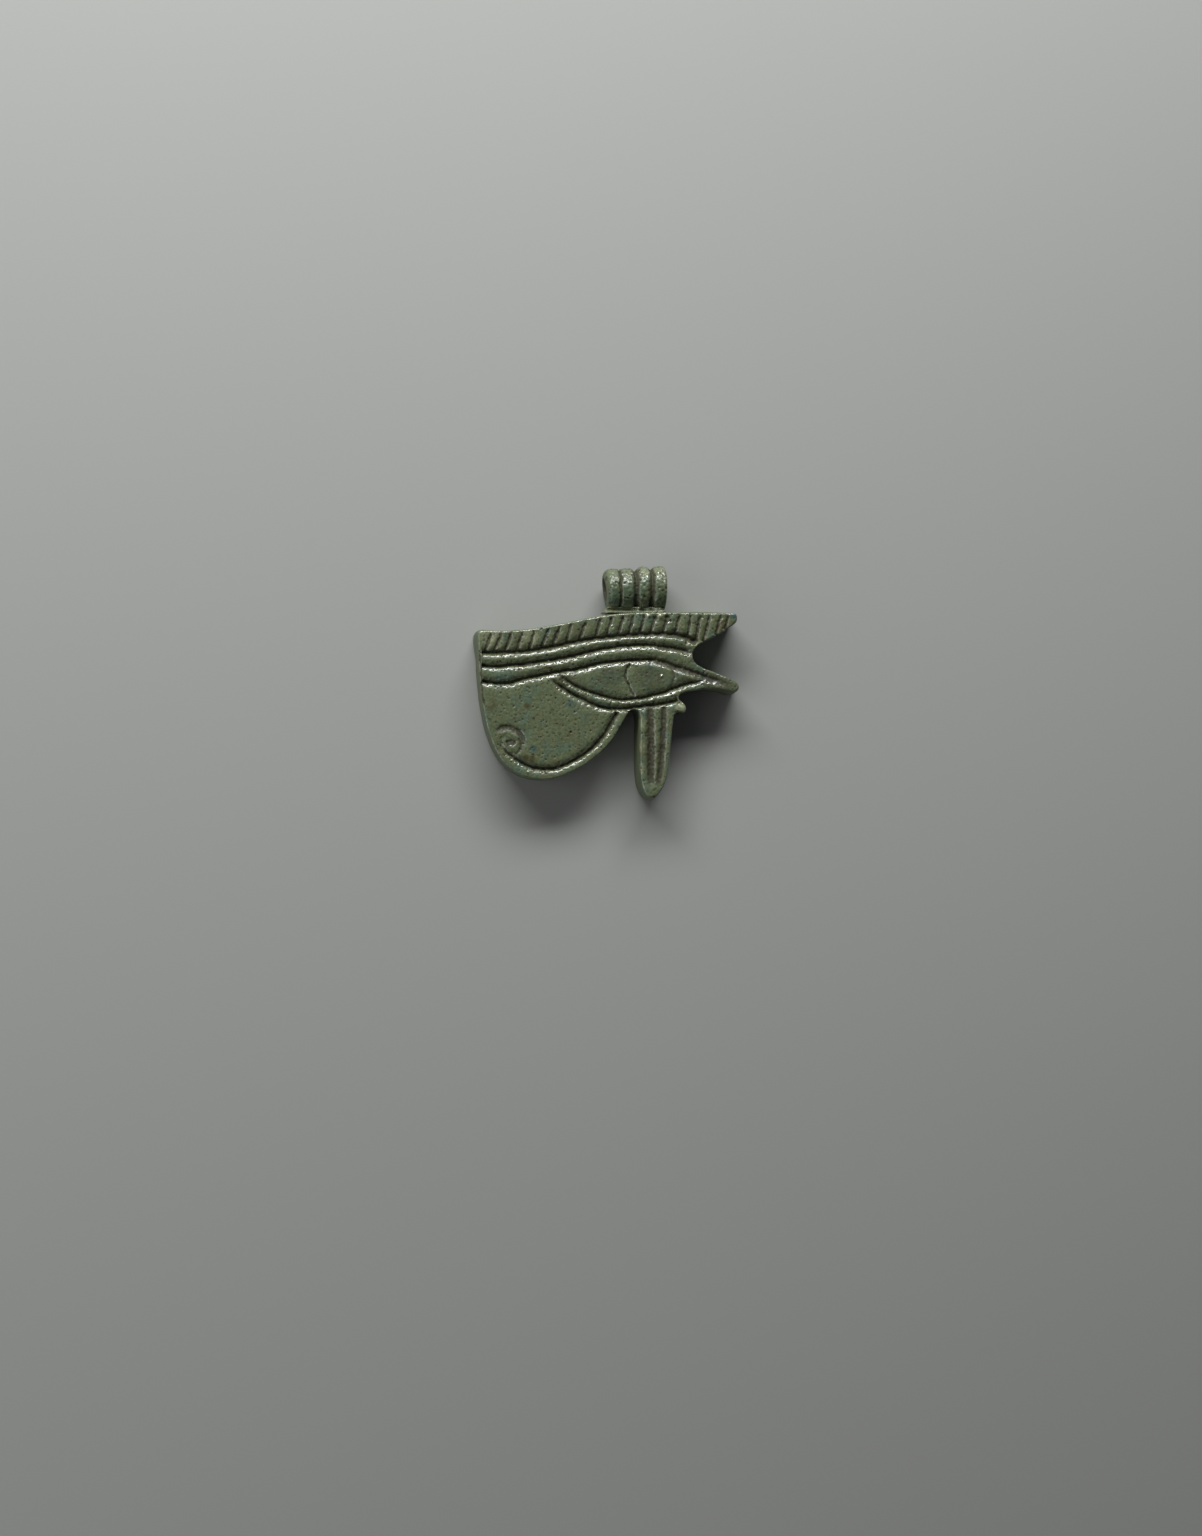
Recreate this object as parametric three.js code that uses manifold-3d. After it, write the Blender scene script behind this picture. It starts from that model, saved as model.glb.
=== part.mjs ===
// Wedjat eye amulet of green glazed faience, lying on its back.
// Millimetres, +Z up out of the carved front, +X towards the tails, +Y towards the suspension tube.
// The origin is under the middle of the whole amulet, on the surface that it lies on.
import * as THREE from 'three';
import { mergeVertices } from 'three/addons/utils/BufferGeometryUtils.js';
import Module from 'manifold-3d';

const wasm = await Module();
wasm.setup();

// Driving dimensions of the moulded plaque.
const plaqueWidth = 32.0; // left edge to the tips of the tails
const plaqueHeight = 22.7; // tip of the drop to the top of the brow
const plaqueThickness = 5.0;
const mouldDraft = 0.3; // how far the back stands out past the outline
const shoulderInset = 0.15; // how far the front face is drawn in from the outline
const skirtHeight = 0.5; // straight land above the back
const hookHeight = 4.6; // the small hook beside the drop is a little lower than the front
const hookDraft = 0.12;
const hookInset = 0.08;
const cutOverrun = 0.6; // how far every cutter runs past the face that it cuts

// Grooves in the front face: each has its own width and depth.
const browGroove = { width: 0.66, depth: 0.5 };
const bandGroove = { width: 0.64, depth: 0.5 };
const lidGroove = { width: 0.56, depth: 0.42 };
const cheekGroove = { width: 0.6, depth: 0.45 };
const rimGroove = { width: 0.56, depth: 0.42 };
const curlGroove = { width: 0.42, depth: 0.3 };
const irisGroove = { width: 0.4, depth: 0.26 };
const dropGroove = { width: 0.7, depth: 0.45 };
const hatchStroke = { width: 0.52, depth: 0.26 };
const hatchStrokes = 21;
const hatchPitch = 1.36;
const hatchStart = 1.85; // from the left edge to the foot of the first stroke
const hatchLean = 0.85; // how far a stroke's top lies to the right of its foot
const hatchFootGap = 0.1; // between a stroke's foot and the middle of the brow's groove
const hatchTopGap = 0.5; // between a stroke's top and the top of the brow

// Driving dimensions of the suspension tube and of the slip that joins it to the brow.
const tubeLength = 7.6;
const tubeRadius = 2.9; // over the ribs
const ribGrooveDepth = 0.4;
const boreRadius = 1.05;
const tubeEndRound = 0.3;
const tubeRibs = 4;
const tubeCentreShare = 0.602; // the tube's middle, along the plaque's width
const seatDepth = 0.06; // the flat pressed into the brow's top for the tube
const slipFilm = 0.16; // slip left between the seat and the tube
const slipClearance = 0.05; // between the slip's saddle and the ribs
const slipFootHalf = 1.95; // half of the slip's depth where it meets the brow
const slipWaistHalf = 1.8; // and part way up, where its sides are hollow
const slipWaistHeight = 0.3;
const slipShoulderHalf = 1.7; // and where it ends against the ribs
const slipRise = 1.0; // how far the slip climbs up the tube
const slipFlareLeft = 0.9; // how far the slip spreads past the tube's left end
const slipFlareRight = 0.25;
const slipRound = 0.35; // rounding of the slip's ends
const slipRoot = 0.8; // how far the slip's section runs below the seat before it is cut flat there

// How finely curves are drawn.
const outlineStepsPerPoint = 2;
const grooveStepsPerPoint = 1.4;
const flankSteps = 4;
const tubeSides = 32;
const pointsPerRib = 5;
const slipSteps = 2;

// Outlines and grooves are shares of the plaque's width and height, from its lower left corner.
const browShares = [
  [0.0, 0.85], [0.002, 0.88], [0.014, 0.893], [0.05, 0.892], [0.1, 0.892], [0.15, 0.896], [0.2, 0.904],
  [0.256, 0.917], [0.313, 0.932], [0.37, 0.949], [0.427, 0.966], [0.48, 0.98], [0.54, 0.991],
  [0.62, 0.998], [0.7, 1.0], [0.78, 1.0], [0.86, 0.999], [0.93, 1.0], [0.978, 1.0],
];
const browEndShares = [[0.99, 0.99], [0.996, 0.972]];
const browUnderShares = [
  [0.99, 0.948], [0.966, 0.922], [0.935, 0.893], [0.899, 0.866], [0.867, 0.843], [0.843, 0.823],
];
const notchShares = [[0.829, 0.801], [0.823, 0.774], [0.825, 0.746], [0.838, 0.721]];
const eyeTailShares = [
  [0.864, 0.701], [0.895, 0.685], [0.93, 0.666], [0.965, 0.647], [0.988, 0.63],
  [1.0, 0.609], [0.999, 0.588], [0.985, 0.573], [0.961, 0.577], [0.93, 0.585], [0.899, 0.589],
  [0.864, 0.588], [0.832, 0.581], [0.801, 0.574], [0.777, 0.564],
];
const dropShares = [
  [0.765, 0.54], [0.757, 0.5], [0.75, 0.45], [0.746, 0.4], [0.741, 0.333], [0.737, 0.278],
  [0.734, 0.224], [0.73, 0.17], [0.724, 0.116], [0.711, 0.066], [0.695, 0.03], [0.68, 0.006],
  [0.666, 0.0], [0.65, 0.012], [0.639, 0.045], [0.631, 0.09], [0.626, 0.14], [0.623, 0.2],
  [0.622, 0.28], [0.622, 0.36], [0.621, 0.42], [0.616, 0.46], [0.604, 0.476], [0.588, 0.476],
];
const cheekShares = [
  [0.575, 0.46], [0.562, 0.43], [0.55, 0.4], [0.535, 0.362], [0.516, 0.32], [0.493, 0.279],
  [0.466, 0.241], [0.435, 0.206], [0.405, 0.176], [0.37, 0.149], [0.332, 0.124], [0.294, 0.106],
  [0.256, 0.098], [0.218, 0.1], [0.18, 0.112], [0.145, 0.135], [0.116, 0.165], [0.091, 0.202],
  [0.073, 0.242], [0.059, 0.285], [0.049, 0.33], [0.04, 0.373], [0.033, 0.421], [0.027, 0.474],
  [0.022, 0.528], [0.017, 0.581], [0.012, 0.635], [0.008, 0.704], [0.004, 0.784],
];
const hookShares = [
  [0.745, 0.53], [0.78, 0.53], [0.793, 0.51], [0.8, 0.487], [0.797, 0.462], [0.788, 0.453], [0.777, 0.463],
  [0.762, 0.455], [0.74, 0.42],
];
const browGrooveShares = [
  [0.012, 0.77], [0.05, 0.772], [0.1, 0.776], [0.15, 0.781], [0.2, 0.789], [0.256, 0.802],
  [0.313, 0.819], [0.37, 0.834], [0.427, 0.845], [0.485, 0.853], [0.543, 0.862], [0.6, 0.871],
  [0.658, 0.877], [0.716, 0.88], [0.755, 0.877], [0.794, 0.866], [0.825, 0.849], [0.848, 0.834],
];
const bandGrooveShares = [
  [0.014, 0.708], [0.045, 0.703], [0.085, 0.702], [0.13, 0.704], [0.18, 0.711], [0.237, 0.725],
  [0.294, 0.741], [0.351, 0.759], [0.408, 0.778], [0.466, 0.795], [0.523, 0.807], [0.581, 0.814],
  [0.639, 0.815], [0.697, 0.811], [0.745, 0.803], [0.785, 0.79], [0.81, 0.773], [0.828, 0.753],
];
const upperLidShares = [
  [0.018, 0.624], [0.045, 0.617], [0.085, 0.614], [0.125, 0.616], [0.16, 0.625], [0.2, 0.638],
  [0.245, 0.65], [0.286, 0.658], [0.33, 0.671], [0.37, 0.683], [0.427, 0.702], [0.466, 0.715],
  [0.504, 0.727], [0.562, 0.735], [0.62, 0.738], [0.677, 0.735], [0.716, 0.724], [0.755, 0.707],
  [0.794, 0.686], [0.832, 0.663], [0.871, 0.641], [0.91, 0.624], [0.945, 0.61], [0.978, 0.598],
];
const lowerLidShares = [
  [0.305, 0.655], [0.33, 0.637], [0.36, 0.615], [0.389, 0.593], [0.427, 0.567], [0.466, 0.549],
  [0.504, 0.536], [0.543, 0.53], [0.589, 0.528], [0.625, 0.532], [0.66, 0.541], [0.697, 0.554],
  [0.728, 0.568], [0.76, 0.588], [0.79, 0.606], [0.825, 0.62], [0.86, 0.629], [0.895, 0.631],
];
const cheekTopShares = [
  [0.27, 0.64], [0.295, 0.616], [0.32, 0.592], [0.345, 0.567], [0.37, 0.543], [0.4, 0.518],
  [0.433, 0.498], [0.466, 0.486], [0.512, 0.48], [0.562, 0.479], [0.6, 0.482], [0.64, 0.49],
  [0.68, 0.498], [0.72, 0.509], [0.75, 0.52],
];
const rimShares = [
  [0.531, 0.465], [0.52, 0.43], [0.504, 0.392], [0.485, 0.35], [0.462, 0.308], [0.435, 0.27],
  [0.401, 0.233], [0.37, 0.206], [0.332, 0.179], [0.294, 0.162], [0.256, 0.156], [0.218, 0.161],
  [0.18, 0.176], [0.148, 0.2], [0.122, 0.228], [0.105, 0.256], [0.098, 0.284], [0.107, 0.305],
  [0.126, 0.31],
];
const curlShares = [
  [0.055, 0.34], [0.064, 0.36], [0.08, 0.378], [0.1, 0.386], [0.123, 0.384], [0.146, 0.372],
  [0.165, 0.352], [0.178, 0.328], [0.181, 0.303], [0.176, 0.277], [0.166, 0.252], [0.154, 0.232],
  [0.143, 0.215],
];
const irisLeftShares = [
  [0.575, 0.727], [0.567, 0.694], [0.57, 0.656], [0.578, 0.625], [0.592, 0.587], [0.612, 0.558],
  [0.622, 0.54],
];
const irisRightShares = [
  [0.69, 0.727], [0.717, 0.706], [0.736, 0.679], [0.7455, 0.647], [0.742, 0.611], [0.728, 0.583],
  [0.714, 0.564],
];
const dropLeftShares = [
  [0.657, 0.475], [0.656, 0.4], [0.657, 0.332], [0.66, 0.224], [0.666, 0.116], [0.671, 0.06],
];
const dropRightShares = [
  [0.706, 0.47], [0.705, 0.4], [0.704, 0.332], [0.697, 0.224], [0.69, 0.116], [0.685, 0.06],
];

// A groove's section: how wide it still is part way down, and at its floor.
const grooveWallDepthShare = 0.6;
const grooveWallShare = 0.36;
const grooveFloorShare = 0.16;

const plaquePoint = ([across, up]) => new THREE.Vector2(across * plaqueWidth, up * plaqueHeight);

// Turns a closed mesh into a solid that can be cut and joined.
function solidOf(geometry) {
  const bare = new THREE.BufferGeometry();
  bare.setAttribute('position', geometry.getAttribute('position'));
  if (geometry.index) bare.setIndex(geometry.index);
  const merged = mergeVertices(bare);
  const mesh = new wasm.Mesh({
    numProp: 3,
    vertProperties: new Float32Array(merged.getAttribute('position').array),
    triVerts: new Uint32Array(merged.index.array),
  });
  return new wasm.Manifold(mesh);
}

function geometryOf(solid) {
  const mesh = solid.getMesh();
  const geometry = new THREE.BufferGeometry();
  geometry.setAttribute('position', new THREE.BufferAttribute(new Float32Array(mesh.vertProperties), 3));
  geometry.setIndex(new THREE.BufferAttribute(new Uint32Array(mesh.triVerts), 1));
  geometry.computeVertexNormals();
  return geometry;
}

function boxSolid(low, high) {
  const size = new THREE.Vector3().subVectors(high, low);
  const centre = new THREE.Vector3().addVectors(low, high).multiplyScalar(0.5);
  const box = new THREE.BoxGeometry(size.x, size.y, size.z);
  box.translate(centre.x, centre.y, centre.z);
  return solidOf(box);
}

// Removes everything below the surface that the amulet lies on.
function cutFlatBack(solid) {
  const low = new THREE.Vector3(-plaqueWidth, -plaqueHeight, -plaqueThickness - cutOverrun);
  const high = new THREE.Vector3(plaqueWidth + plaqueWidth, plaqueHeight + plaqueHeight, 0);
  return solid.subtract(boxSolid(low, high));
}

// A moulded body: the outline at the front, swelling in a rounded flank towards its back.
function mouldedBody(outline, height, inset, draft) {
  const geometry = new THREE.ExtrudeGeometry(outline, {
    depth: skirtHeight,
    curveSegments: outlineStepsPerPoint,
    bevelEnabled: true,
    bevelThickness: height - skirtHeight,
    bevelSize: inset + draft,
    bevelOffset: -inset,
    bevelSegments: flankSteps,
  });
  return cutFlatBack(solidOf(geometry));
}

function plaqueOutline() {
  const outline = new THREE.Shape();
  const [start, ...browRest] = browShares.map(plaquePoint);
  outline.moveTo(start.x, start.y);
  outline.splineThru(browRest);
  outline.splineThru([...browEndShares, ...browUnderShares, ...notchShares].map(plaquePoint));
  outline.splineThru(eyeTailShares.map(plaquePoint));
  outline.splineThru(dropShares.map(plaquePoint));
  outline.splineThru([...cheekShares.map(plaquePoint), start]);
  return outline;
}

function hookOutline() {
  const outline = new THREE.Shape();
  const [start, ...rest] = hookShares.map(plaquePoint);
  outline.moveTo(start.x, start.y);
  outline.splineThru(rest);
  outline.closePath();
  return outline;
}

// Cuts one groove along points on the front face.
function grooveCutter(points, { width, depth }, steps) {
  const half = width / 2;
  const wallDepth = grooveWallDepthShare * depth;
  const section = new THREE.Shape([
    new THREE.Vector2(-cutOverrun, -half),
    new THREE.Vector2(0, -half),
    new THREE.Vector2(wallDepth, -grooveWallShare * width),
    new THREE.Vector2(depth, -grooveFloorShare * width),
    new THREE.Vector2(depth, grooveFloorShare * width),
    new THREE.Vector2(wallDepth, grooveWallShare * width),
    new THREE.Vector2(0, half),
    new THREE.Vector2(-cutOverrun, half),
  ]);
  const path = new THREE.CatmullRomCurve3(points.map((p) => new THREE.Vector3(p.x, p.y, plaqueThickness)));
  return solidOf(new THREE.ExtrudeGeometry(section, { steps, extrudePath: path, bevelEnabled: false }));
}

// The height of a row of points at one place across the plaque.
function heightAt(points, x) {
  const next = points.findIndex((p, i) => i > 0 && p.x >= x);
  const b = points[next < 1 ? points.length - 1 : next];
  const a = points[points.indexOf(b) - 1];
  return a.y + ((b.y - a.y) * (x - a.x)) / (b.x - a.x);
}

// The slanting strokes of the brow, each from its groove up towards the brow's top.
function hatchCutters() {
  const groove = browGrooveShares.map(plaquePoint);
  const top = [...browShares, ...browEndShares].map(plaquePoint);
  const under = browUnderShares.map(plaquePoint).reverse();
  const lastGroovePoint = groove[groove.length - 1];
  const cutters = [];
  for (let i = 0; i < hatchStrokes; i += 1) {
    const footX = hatchStart + i * hatchPitch;
    const topX = footX + hatchLean;
    const footY = footX < lastGroovePoint.x ? heightAt(groove, footX) : heightAt(under, footX);
    const foot = new THREE.Vector2(footX, footY + hatchFootGap);
    const head = new THREE.Vector2(topX, heightAt(top, topX) - hatchTopGap);
    cutters.push(grooveCutter([foot, head], hatchStroke, 1));
  }
  return cutters;
}

function grooveCutters() {
  const lines = [
    [browGrooveShares, browGroove],
    [bandGrooveShares, bandGroove],
    [upperLidShares, lidGroove],
    [lowerLidShares, lidGroove],
    [cheekTopShares, cheekGroove],
    [rimShares, rimGroove],
    [curlShares, curlGroove],
    [irisLeftShares, irisGroove],
    [irisRightShares, irisGroove],
    [dropLeftShares, dropGroove],
    [dropRightShares, dropGroove],
  ];
  return lines.map(([shares, size]) => {
    const steps = Math.round(grooveStepsPerPoint * shares.length);
    return grooveCutter(shares.map(plaquePoint), size, steps);
  });
}

const tubeCentreX = tubeCentreShare * plaqueWidth;
const seatY = plaqueHeight - seatDepth;
const tubeAxisY = seatY + slipFilm + tubeRadius;
const tubeAxisZ = tubeRadius;

// The flat on the brow's top that the tube is pressed on to.
function seatCutter() {
  const left = tubeCentreX - tubeLength / 2 - slipFlareLeft;
  const right = tubeCentreX + tubeLength / 2 + slipFlareRight;
  const top = seatY + mouldDraft + cutOverrun;
  const low = new THREE.Vector3(left, seatY, -cutOverrun);
  const high = new THREE.Vector3(right, top, plaqueThickness + cutOverrun);
  return boxSolid(low, high);
}

function eyePlaque() {
  let body = mouldedBody(plaqueOutline(), plaqueThickness, shoulderInset, mouldDraft);
  body = body.add(mouldedBody(hookOutline(), hookHeight, hookInset, hookDraft));
  body = body.subtract(seatCutter());
  for (const cutter of [...grooveCutters(), ...hatchCutters()]) {
    body = body.subtract(cutter);
  }
  return geometryOf(body);
}

// The ribbed tube, turned about its bore. Each rib is a low rounded crown between two grooves.
function suspensionTube() {
  const grooveRadius = tubeRadius - ribGrooveDepth;
  const ribLength = tubeLength / tubeRibs;
  const start = -tubeLength / 2;
  const profile = [];
  for (let rib = 0; rib < tubeRibs; rib += 1) {
    for (let k = 0; k < pointsPerRib; k += 1) {
      const share = k / pointsPerRib;
      const crown = Math.sqrt(Math.sin(Math.PI * share));
      profile.push(new THREE.Vector2(grooveRadius + ribGrooveDepth * crown, start + (rib + share) * ribLength));
    }
  }
  profile.push(new THREE.Vector2(grooveRadius, -start));
  profile.push(new THREE.Vector2(boreRadius + tubeEndRound, -start));
  profile.push(new THREE.Vector2(boreRadius, -start - tubeEndRound));
  profile.push(new THREE.Vector2(boreRadius, start + tubeEndRound));
  profile.push(new THREE.Vector2(boreRadius + tubeEndRound, start));
  profile.push(profile[0].clone());
  const geometry = new THREE.LatheGeometry(profile, tubeSides);
  geometry.rotateZ(-Math.PI / 2);
  return geometryOf(solidOf(geometry));
}

// The slip: a saddle between the brow's seat and the tube, spread a little past the tube's ends.
function lutingSlip() {
  const side = [
    new THREE.Vector2(slipFootHalf, -slipRoot),
    new THREE.Vector2(slipFootHalf, 0),
    new THREE.Vector2(slipWaistHalf, slipWaistHeight),
    new THREE.Vector2(slipShoulderHalf, slipRise),
  ];
  const otherSide = side.map((p) => new THREE.Vector2(-p.x, p.y)).reverse();
  const start = -tubeLength / 2 - slipFlareLeft;
  const length = slipFlareLeft + tubeLength + slipFlareRight;
  const geometry = new THREE.ExtrudeGeometry(new THREE.Shape([...side, ...otherSide]), {
    depth: length - 2 * slipRound,
    bevelEnabled: true,
    bevelThickness: slipRound,
    bevelSize: slipRound,
    bevelOffset: -slipRound,
    bevelSegments: slipSteps,
  });
  geometry.translate(0, 0, start + slipRound);
  geometry.rotateY(Math.PI / 2);
  const below = boxSolid(
    new THREE.Vector3(-length, -slipRoot - cutOverrun, -plaqueThickness),
    new THREE.Vector3(length, 0, plaqueThickness),
  );
  const spaceRadius = tubeRadius + slipClearance;
  const tubeSpace = new THREE.CylinderGeometry(spaceRadius, spaceRadius, 2 * length, tubeSides);
  tubeSpace.rotateZ(-Math.PI / 2);
  tubeSpace.translate(0, slipFilm + tubeRadius, 0);
  return geometryOf(solidOf(geometry).subtract(below).subtract(solidOf(tubeSpace)));
}

function glaze(hex, roughness) {
  return new THREE.MeshStandardMaterial({ color: hex, roughness, metalness: 0 });
}

function piece(name, geometry, material, x, y, z) {
  const mesh = new THREE.Mesh(geometry, material);
  mesh.name = name;
  mesh.position.set(x, y, z);
  return mesh;
}

const assembly = new THREE.Group();
assembly.add(piece('eye_plaque', eyePlaque(), glaze(0x59634b, 0.38), 0, 0, 0));
assembly.add(
  piece('suspension_tube', suspensionTube(), glaze(0x5e6851, 0.4), tubeCentreX, tubeAxisY, tubeAxisZ),
);
assembly.add(piece('luting_slip', lutingSlip(), glaze(0x555e49, 0.45), tubeCentreX, seatY, tubeAxisZ));

// The origin is under the middle of the whole amulet.
const box = new THREE.Box3().setFromObject(assembly);
const middle = box.getCenter(new THREE.Vector3());
assembly.position.set(-middle.x, -middle.y, -box.min.z);

const amulet = new THREE.Group();
amulet.add(assembly);

export default amulet;
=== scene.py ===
"""Wedjat eye amulet of green glazed faience, lying on its back on a plain pale table. Metres, +Z up."""
import math

import bmesh
import bpy
import numpy as np
from mathutils import Matrix, Vector, noise


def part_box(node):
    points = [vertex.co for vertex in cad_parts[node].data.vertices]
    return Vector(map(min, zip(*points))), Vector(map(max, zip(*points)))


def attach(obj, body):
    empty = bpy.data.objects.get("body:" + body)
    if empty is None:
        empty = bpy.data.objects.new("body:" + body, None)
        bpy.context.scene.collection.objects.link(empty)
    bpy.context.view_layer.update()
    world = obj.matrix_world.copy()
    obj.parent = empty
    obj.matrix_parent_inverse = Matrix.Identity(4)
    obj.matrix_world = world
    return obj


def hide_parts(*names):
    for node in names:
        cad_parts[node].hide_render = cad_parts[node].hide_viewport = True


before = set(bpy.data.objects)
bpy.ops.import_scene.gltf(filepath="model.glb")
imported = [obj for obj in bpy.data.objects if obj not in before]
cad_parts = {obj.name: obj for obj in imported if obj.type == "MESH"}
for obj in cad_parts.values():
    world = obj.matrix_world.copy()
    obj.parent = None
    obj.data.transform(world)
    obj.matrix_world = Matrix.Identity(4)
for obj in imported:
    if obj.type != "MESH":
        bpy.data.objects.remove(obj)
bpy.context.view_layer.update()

MM = 0.001


def shares(*thousandths):
    """Places on the plaque given in thousandths of its width and height, as shares of them."""
    return [(x / 1000, y / 1000) for x, y in thousandths]


# The moulded plaque, as its solid is drawn.
PLAQUE_LOW, PLAQUE_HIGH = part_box("eye_plaque")
PLAQUE_WIDTH = 32.0 * MM
PLAQUE_HEIGHT = 22.7 * MM
MOULD_DRAFT = 0.3 * MM
PLAQUE_CORNER = np.array((PLAQUE_LOW.x + MOULD_DRAFT, PLAQUE_LOW.y + MOULD_DRAFT))
PLAQUE_SCALE = np.array((PLAQUE_WIDTH, PLAQUE_HEIGHT))
FRONT = PLAQUE_HIGH.z

BROW_TOP = shares(
    (0, 850), (2, 880), (14, 893), (50, 892), (100, 892), (150, 896), (200, 904), (256, 917), (313, 932),
    (370, 949), (427, 966), (480, 980), (540, 991), (620, 998), (700, 1000), (780, 1000), (860, 999),
    (930, 1000), (978, 1000),
)
BROW_END = shares((992, 993), (996, 972))
BROW_UNDER = shares((990, 948), (966, 922), (935, 893), (899, 866), (867, 843), (843, 823))
NOTCH = shares((829, 801), (823, 774), (825, 746), (838, 721))
EYE_TAIL = shares(
    (864, 701), (895, 685), (930, 666), (965, 647), (988, 630), (1000, 609), (999, 588), (985, 573),
    (961, 577), (930, 585), (899, 589), (864, 588), (832, 581), (801, 574), (776, 562),
)
HOOK = shares(
    (770, 548), (770, 532), (781, 517), (793, 500), (797, 480), (791, 461), (777, 464), (762, 462),
    (750, 442),
)
DROP = shares(
    (746, 400), (741, 333), (737, 278), (734, 224), (730, 170), (724, 116), (711, 66), (695, 30), (680, 6),
    (666, 0), (648, 10), (634, 40), (625, 85), (621, 135), (619, 200), (619, 280), (620, 360), (620, 420),
    (616, 460), (604, 476), (588, 476),
)
CHEEK = shares(
    (575, 460), (562, 430), (550, 400), (535, 362), (516, 320), (493, 279), (466, 241), (435, 206),
    (405, 176), (370, 149), (332, 124), (294, 106), (256, 98), (218, 100), (180, 112), (145, 135),
    (116, 165), (91, 202), (73, 242), (58, 285), (46, 330), (36, 373), (28, 421), (21, 474), (15, 528),
    (11, 581), (7, 635), (4, 704), (2, 784), (0, 850),
)
BROW_GROOVE = shares(
    (13, 774), (50, 776), (100, 778), (150, 782), (200, 789), (256, 802), (313, 820), (370, 838), (427, 854),
    (485, 863), (543, 872), (600, 879), (658, 884), (716, 885), (755, 882),
)
BAND_GROOVE = shares(
    (13, 710), (45, 704), (85, 704), (130, 712), (180, 719), (237, 732), (294, 744), (351, 760), (408, 780),
    (466, 799), (523, 813), (581, 822), (639, 825), (697, 819), (720, 815),
)
UPPER_LID = shares(
    (16, 626), (45, 617), (85, 614), (125, 618), (160, 633), (200, 648), (245, 660), (286, 672), (330, 683),
    (370, 690), (427, 711), (466, 724), (504, 732), (562, 741), (620, 745), (677, 745), (716, 731),
)
# The same three grooves run on towards the tails with softer walls.
BROW_GROOVE_END = shares((700, 885), (755, 882), (794, 871), (825, 855), (848, 840))
BAND_GROOVE_END = shares((660, 824), (697, 819), (745, 810), (785, 800), (810, 786), (828, 768))
UPPER_LID_END = shares(
    (650, 745), (677, 745), (716, 731), (755, 712), (794, 696), (832, 678), (871, 657), (910, 639),
    (945, 619), (978, 600),
)
LOWER_LID = shares(
    (305, 657), (330, 637), (360, 611), (389, 590), (427, 570), (466, 555), (504, 539), (543, 530),
    (589, 533), (625, 539), (660, 551), (697, 565), (728, 578), (760, 596), (790, 612), (825, 623),
    (860, 631), (885, 636),
)
CHEEK_TOP = shares(
    (270, 640), (295, 616), (320, 593), (345, 571), (370, 551), (400, 531), (433, 508), (466, 492),
    (512, 481), (562, 482), (600, 489), (640, 497), (680, 503), (720, 512), (750, 522), (768, 531),
)
RIM = shares(
    (116, 338), (101, 331), (91, 313), (89, 286), (98, 260), (114, 238), (135, 219), (159, 196), (190, 173),
    (220, 161), (256, 157), (294, 162), (332, 179), (370, 206), (401, 233), (435, 270), (462, 308),
    (485, 350), (504, 392), (520, 430), (531, 465),
)
CURL = shares(
    (60, 346), (68, 362), (83, 375), (103, 382), (125, 379), (146, 367), (163, 348), (174, 326), (177, 301),
    (173, 280),
)
KNOB_EDGE = shares((152, 330), (161, 310), (163, 284), (156, 252), (141, 230))
CRESCENT = shares((106, 291), (113, 300), (125, 305), (137, 301), (147, 291))
IRIS_LEFT = shares(
    (602, 547), (589, 561), (580, 587), (573, 614), (564, 636), (562, 659), (564, 676), (573, 703),
    (583, 726),
)
IRIS_RIGHT = shares((715, 722), (735, 705), (747.5, 680), (749, 650), (745, 620), (737, 597), (727, 580))
DROP_LEFT = shares((659, 492), (660, 400), (661, 332), (661, 224), (660, 116), (664, 50))
DROP_RIGHT = shares((712, 490), (710, 400), (708, 332), (703, 224), (694, 116), (682, 50))
LEFT_EDGE_SEAM = shares((7, 780), (9, 730), (12, 680), (15, 620), (18, 550), (25, 490))

# Each groove in millimetres: its line, the width of its steep wall, which is on the line's left, the width
# of its gentle wall, its depth, the lengths over which it runs out at its start and end, and its soiling.
GROOVES = [
    (BROW_GROOVE, 0.38, 0.36, 0.38, 0.1, 2.0, 1.7),
    (BROW_GROOVE_END, 0.42, 0.6, 0.36, 1.4, 0.8, 1.5),
    (BAND_GROOVE, 0.33, 0.36, 0.36, 0.1, 2.2, 1.5),
    (BAND_GROOVE_END, 0.36, 0.62, 0.32, 1.6, 1.6, 1.4),
    (UPPER_LID, 0.34, 0.34, 0.38, 0.1, 2.2, 1.5),
    (UPPER_LID_END, 0.34, 0.9, 0.26, 1.8, 4.6, 1.5),
    (LOWER_LID, 0.3, 0.34, 0.32, 2.2, 2.6, 1.4),
    (CHEEK_TOP, 0.34, 0.36, 0.36, 2.4, 0.1, 1.5),
    (RIM, 0.3, 0.38, 0.35, 7.0, 0.3, 1.4),
    (CURL, 0.3, 0.86, 0.14, 1.4, 1.4, 1.3),
    (KNOB_EDGE, 0.22, 0.36, 0.08, 0.5, 0.5, 1.1),
    (CRESCENT, 0.22, 0.8, 0.1, 0.25, 0.25, 1.8),
    (IRIS_LEFT, 0.2, 0.26, 0.2, 0.3, 0.3, 1.3),
    (IRIS_RIGHT, 0.36, 0.36, 0.09, 0.8, 0.6, 0.8),
    (DROP_LEFT, 0.66, 0.7, 0.2, 0.1, 1.6, 1.8),
    (DROP_RIGHT, 0.6, 0.62, 0.17, 0.1, 2.0, 1.5),
    (LEFT_EDGE_SEAM, 0.14, 0.14, 0.012, 0.5, 0.6, 2.4),
]
GROOVE_SHARPNESS = 1.25
GROOVE_END_LEFT = 0.15  # how much of a groove is left at its very end
GROOVE_UNEVEN = 0.3  # how much a groove's depth varies along it
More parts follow.
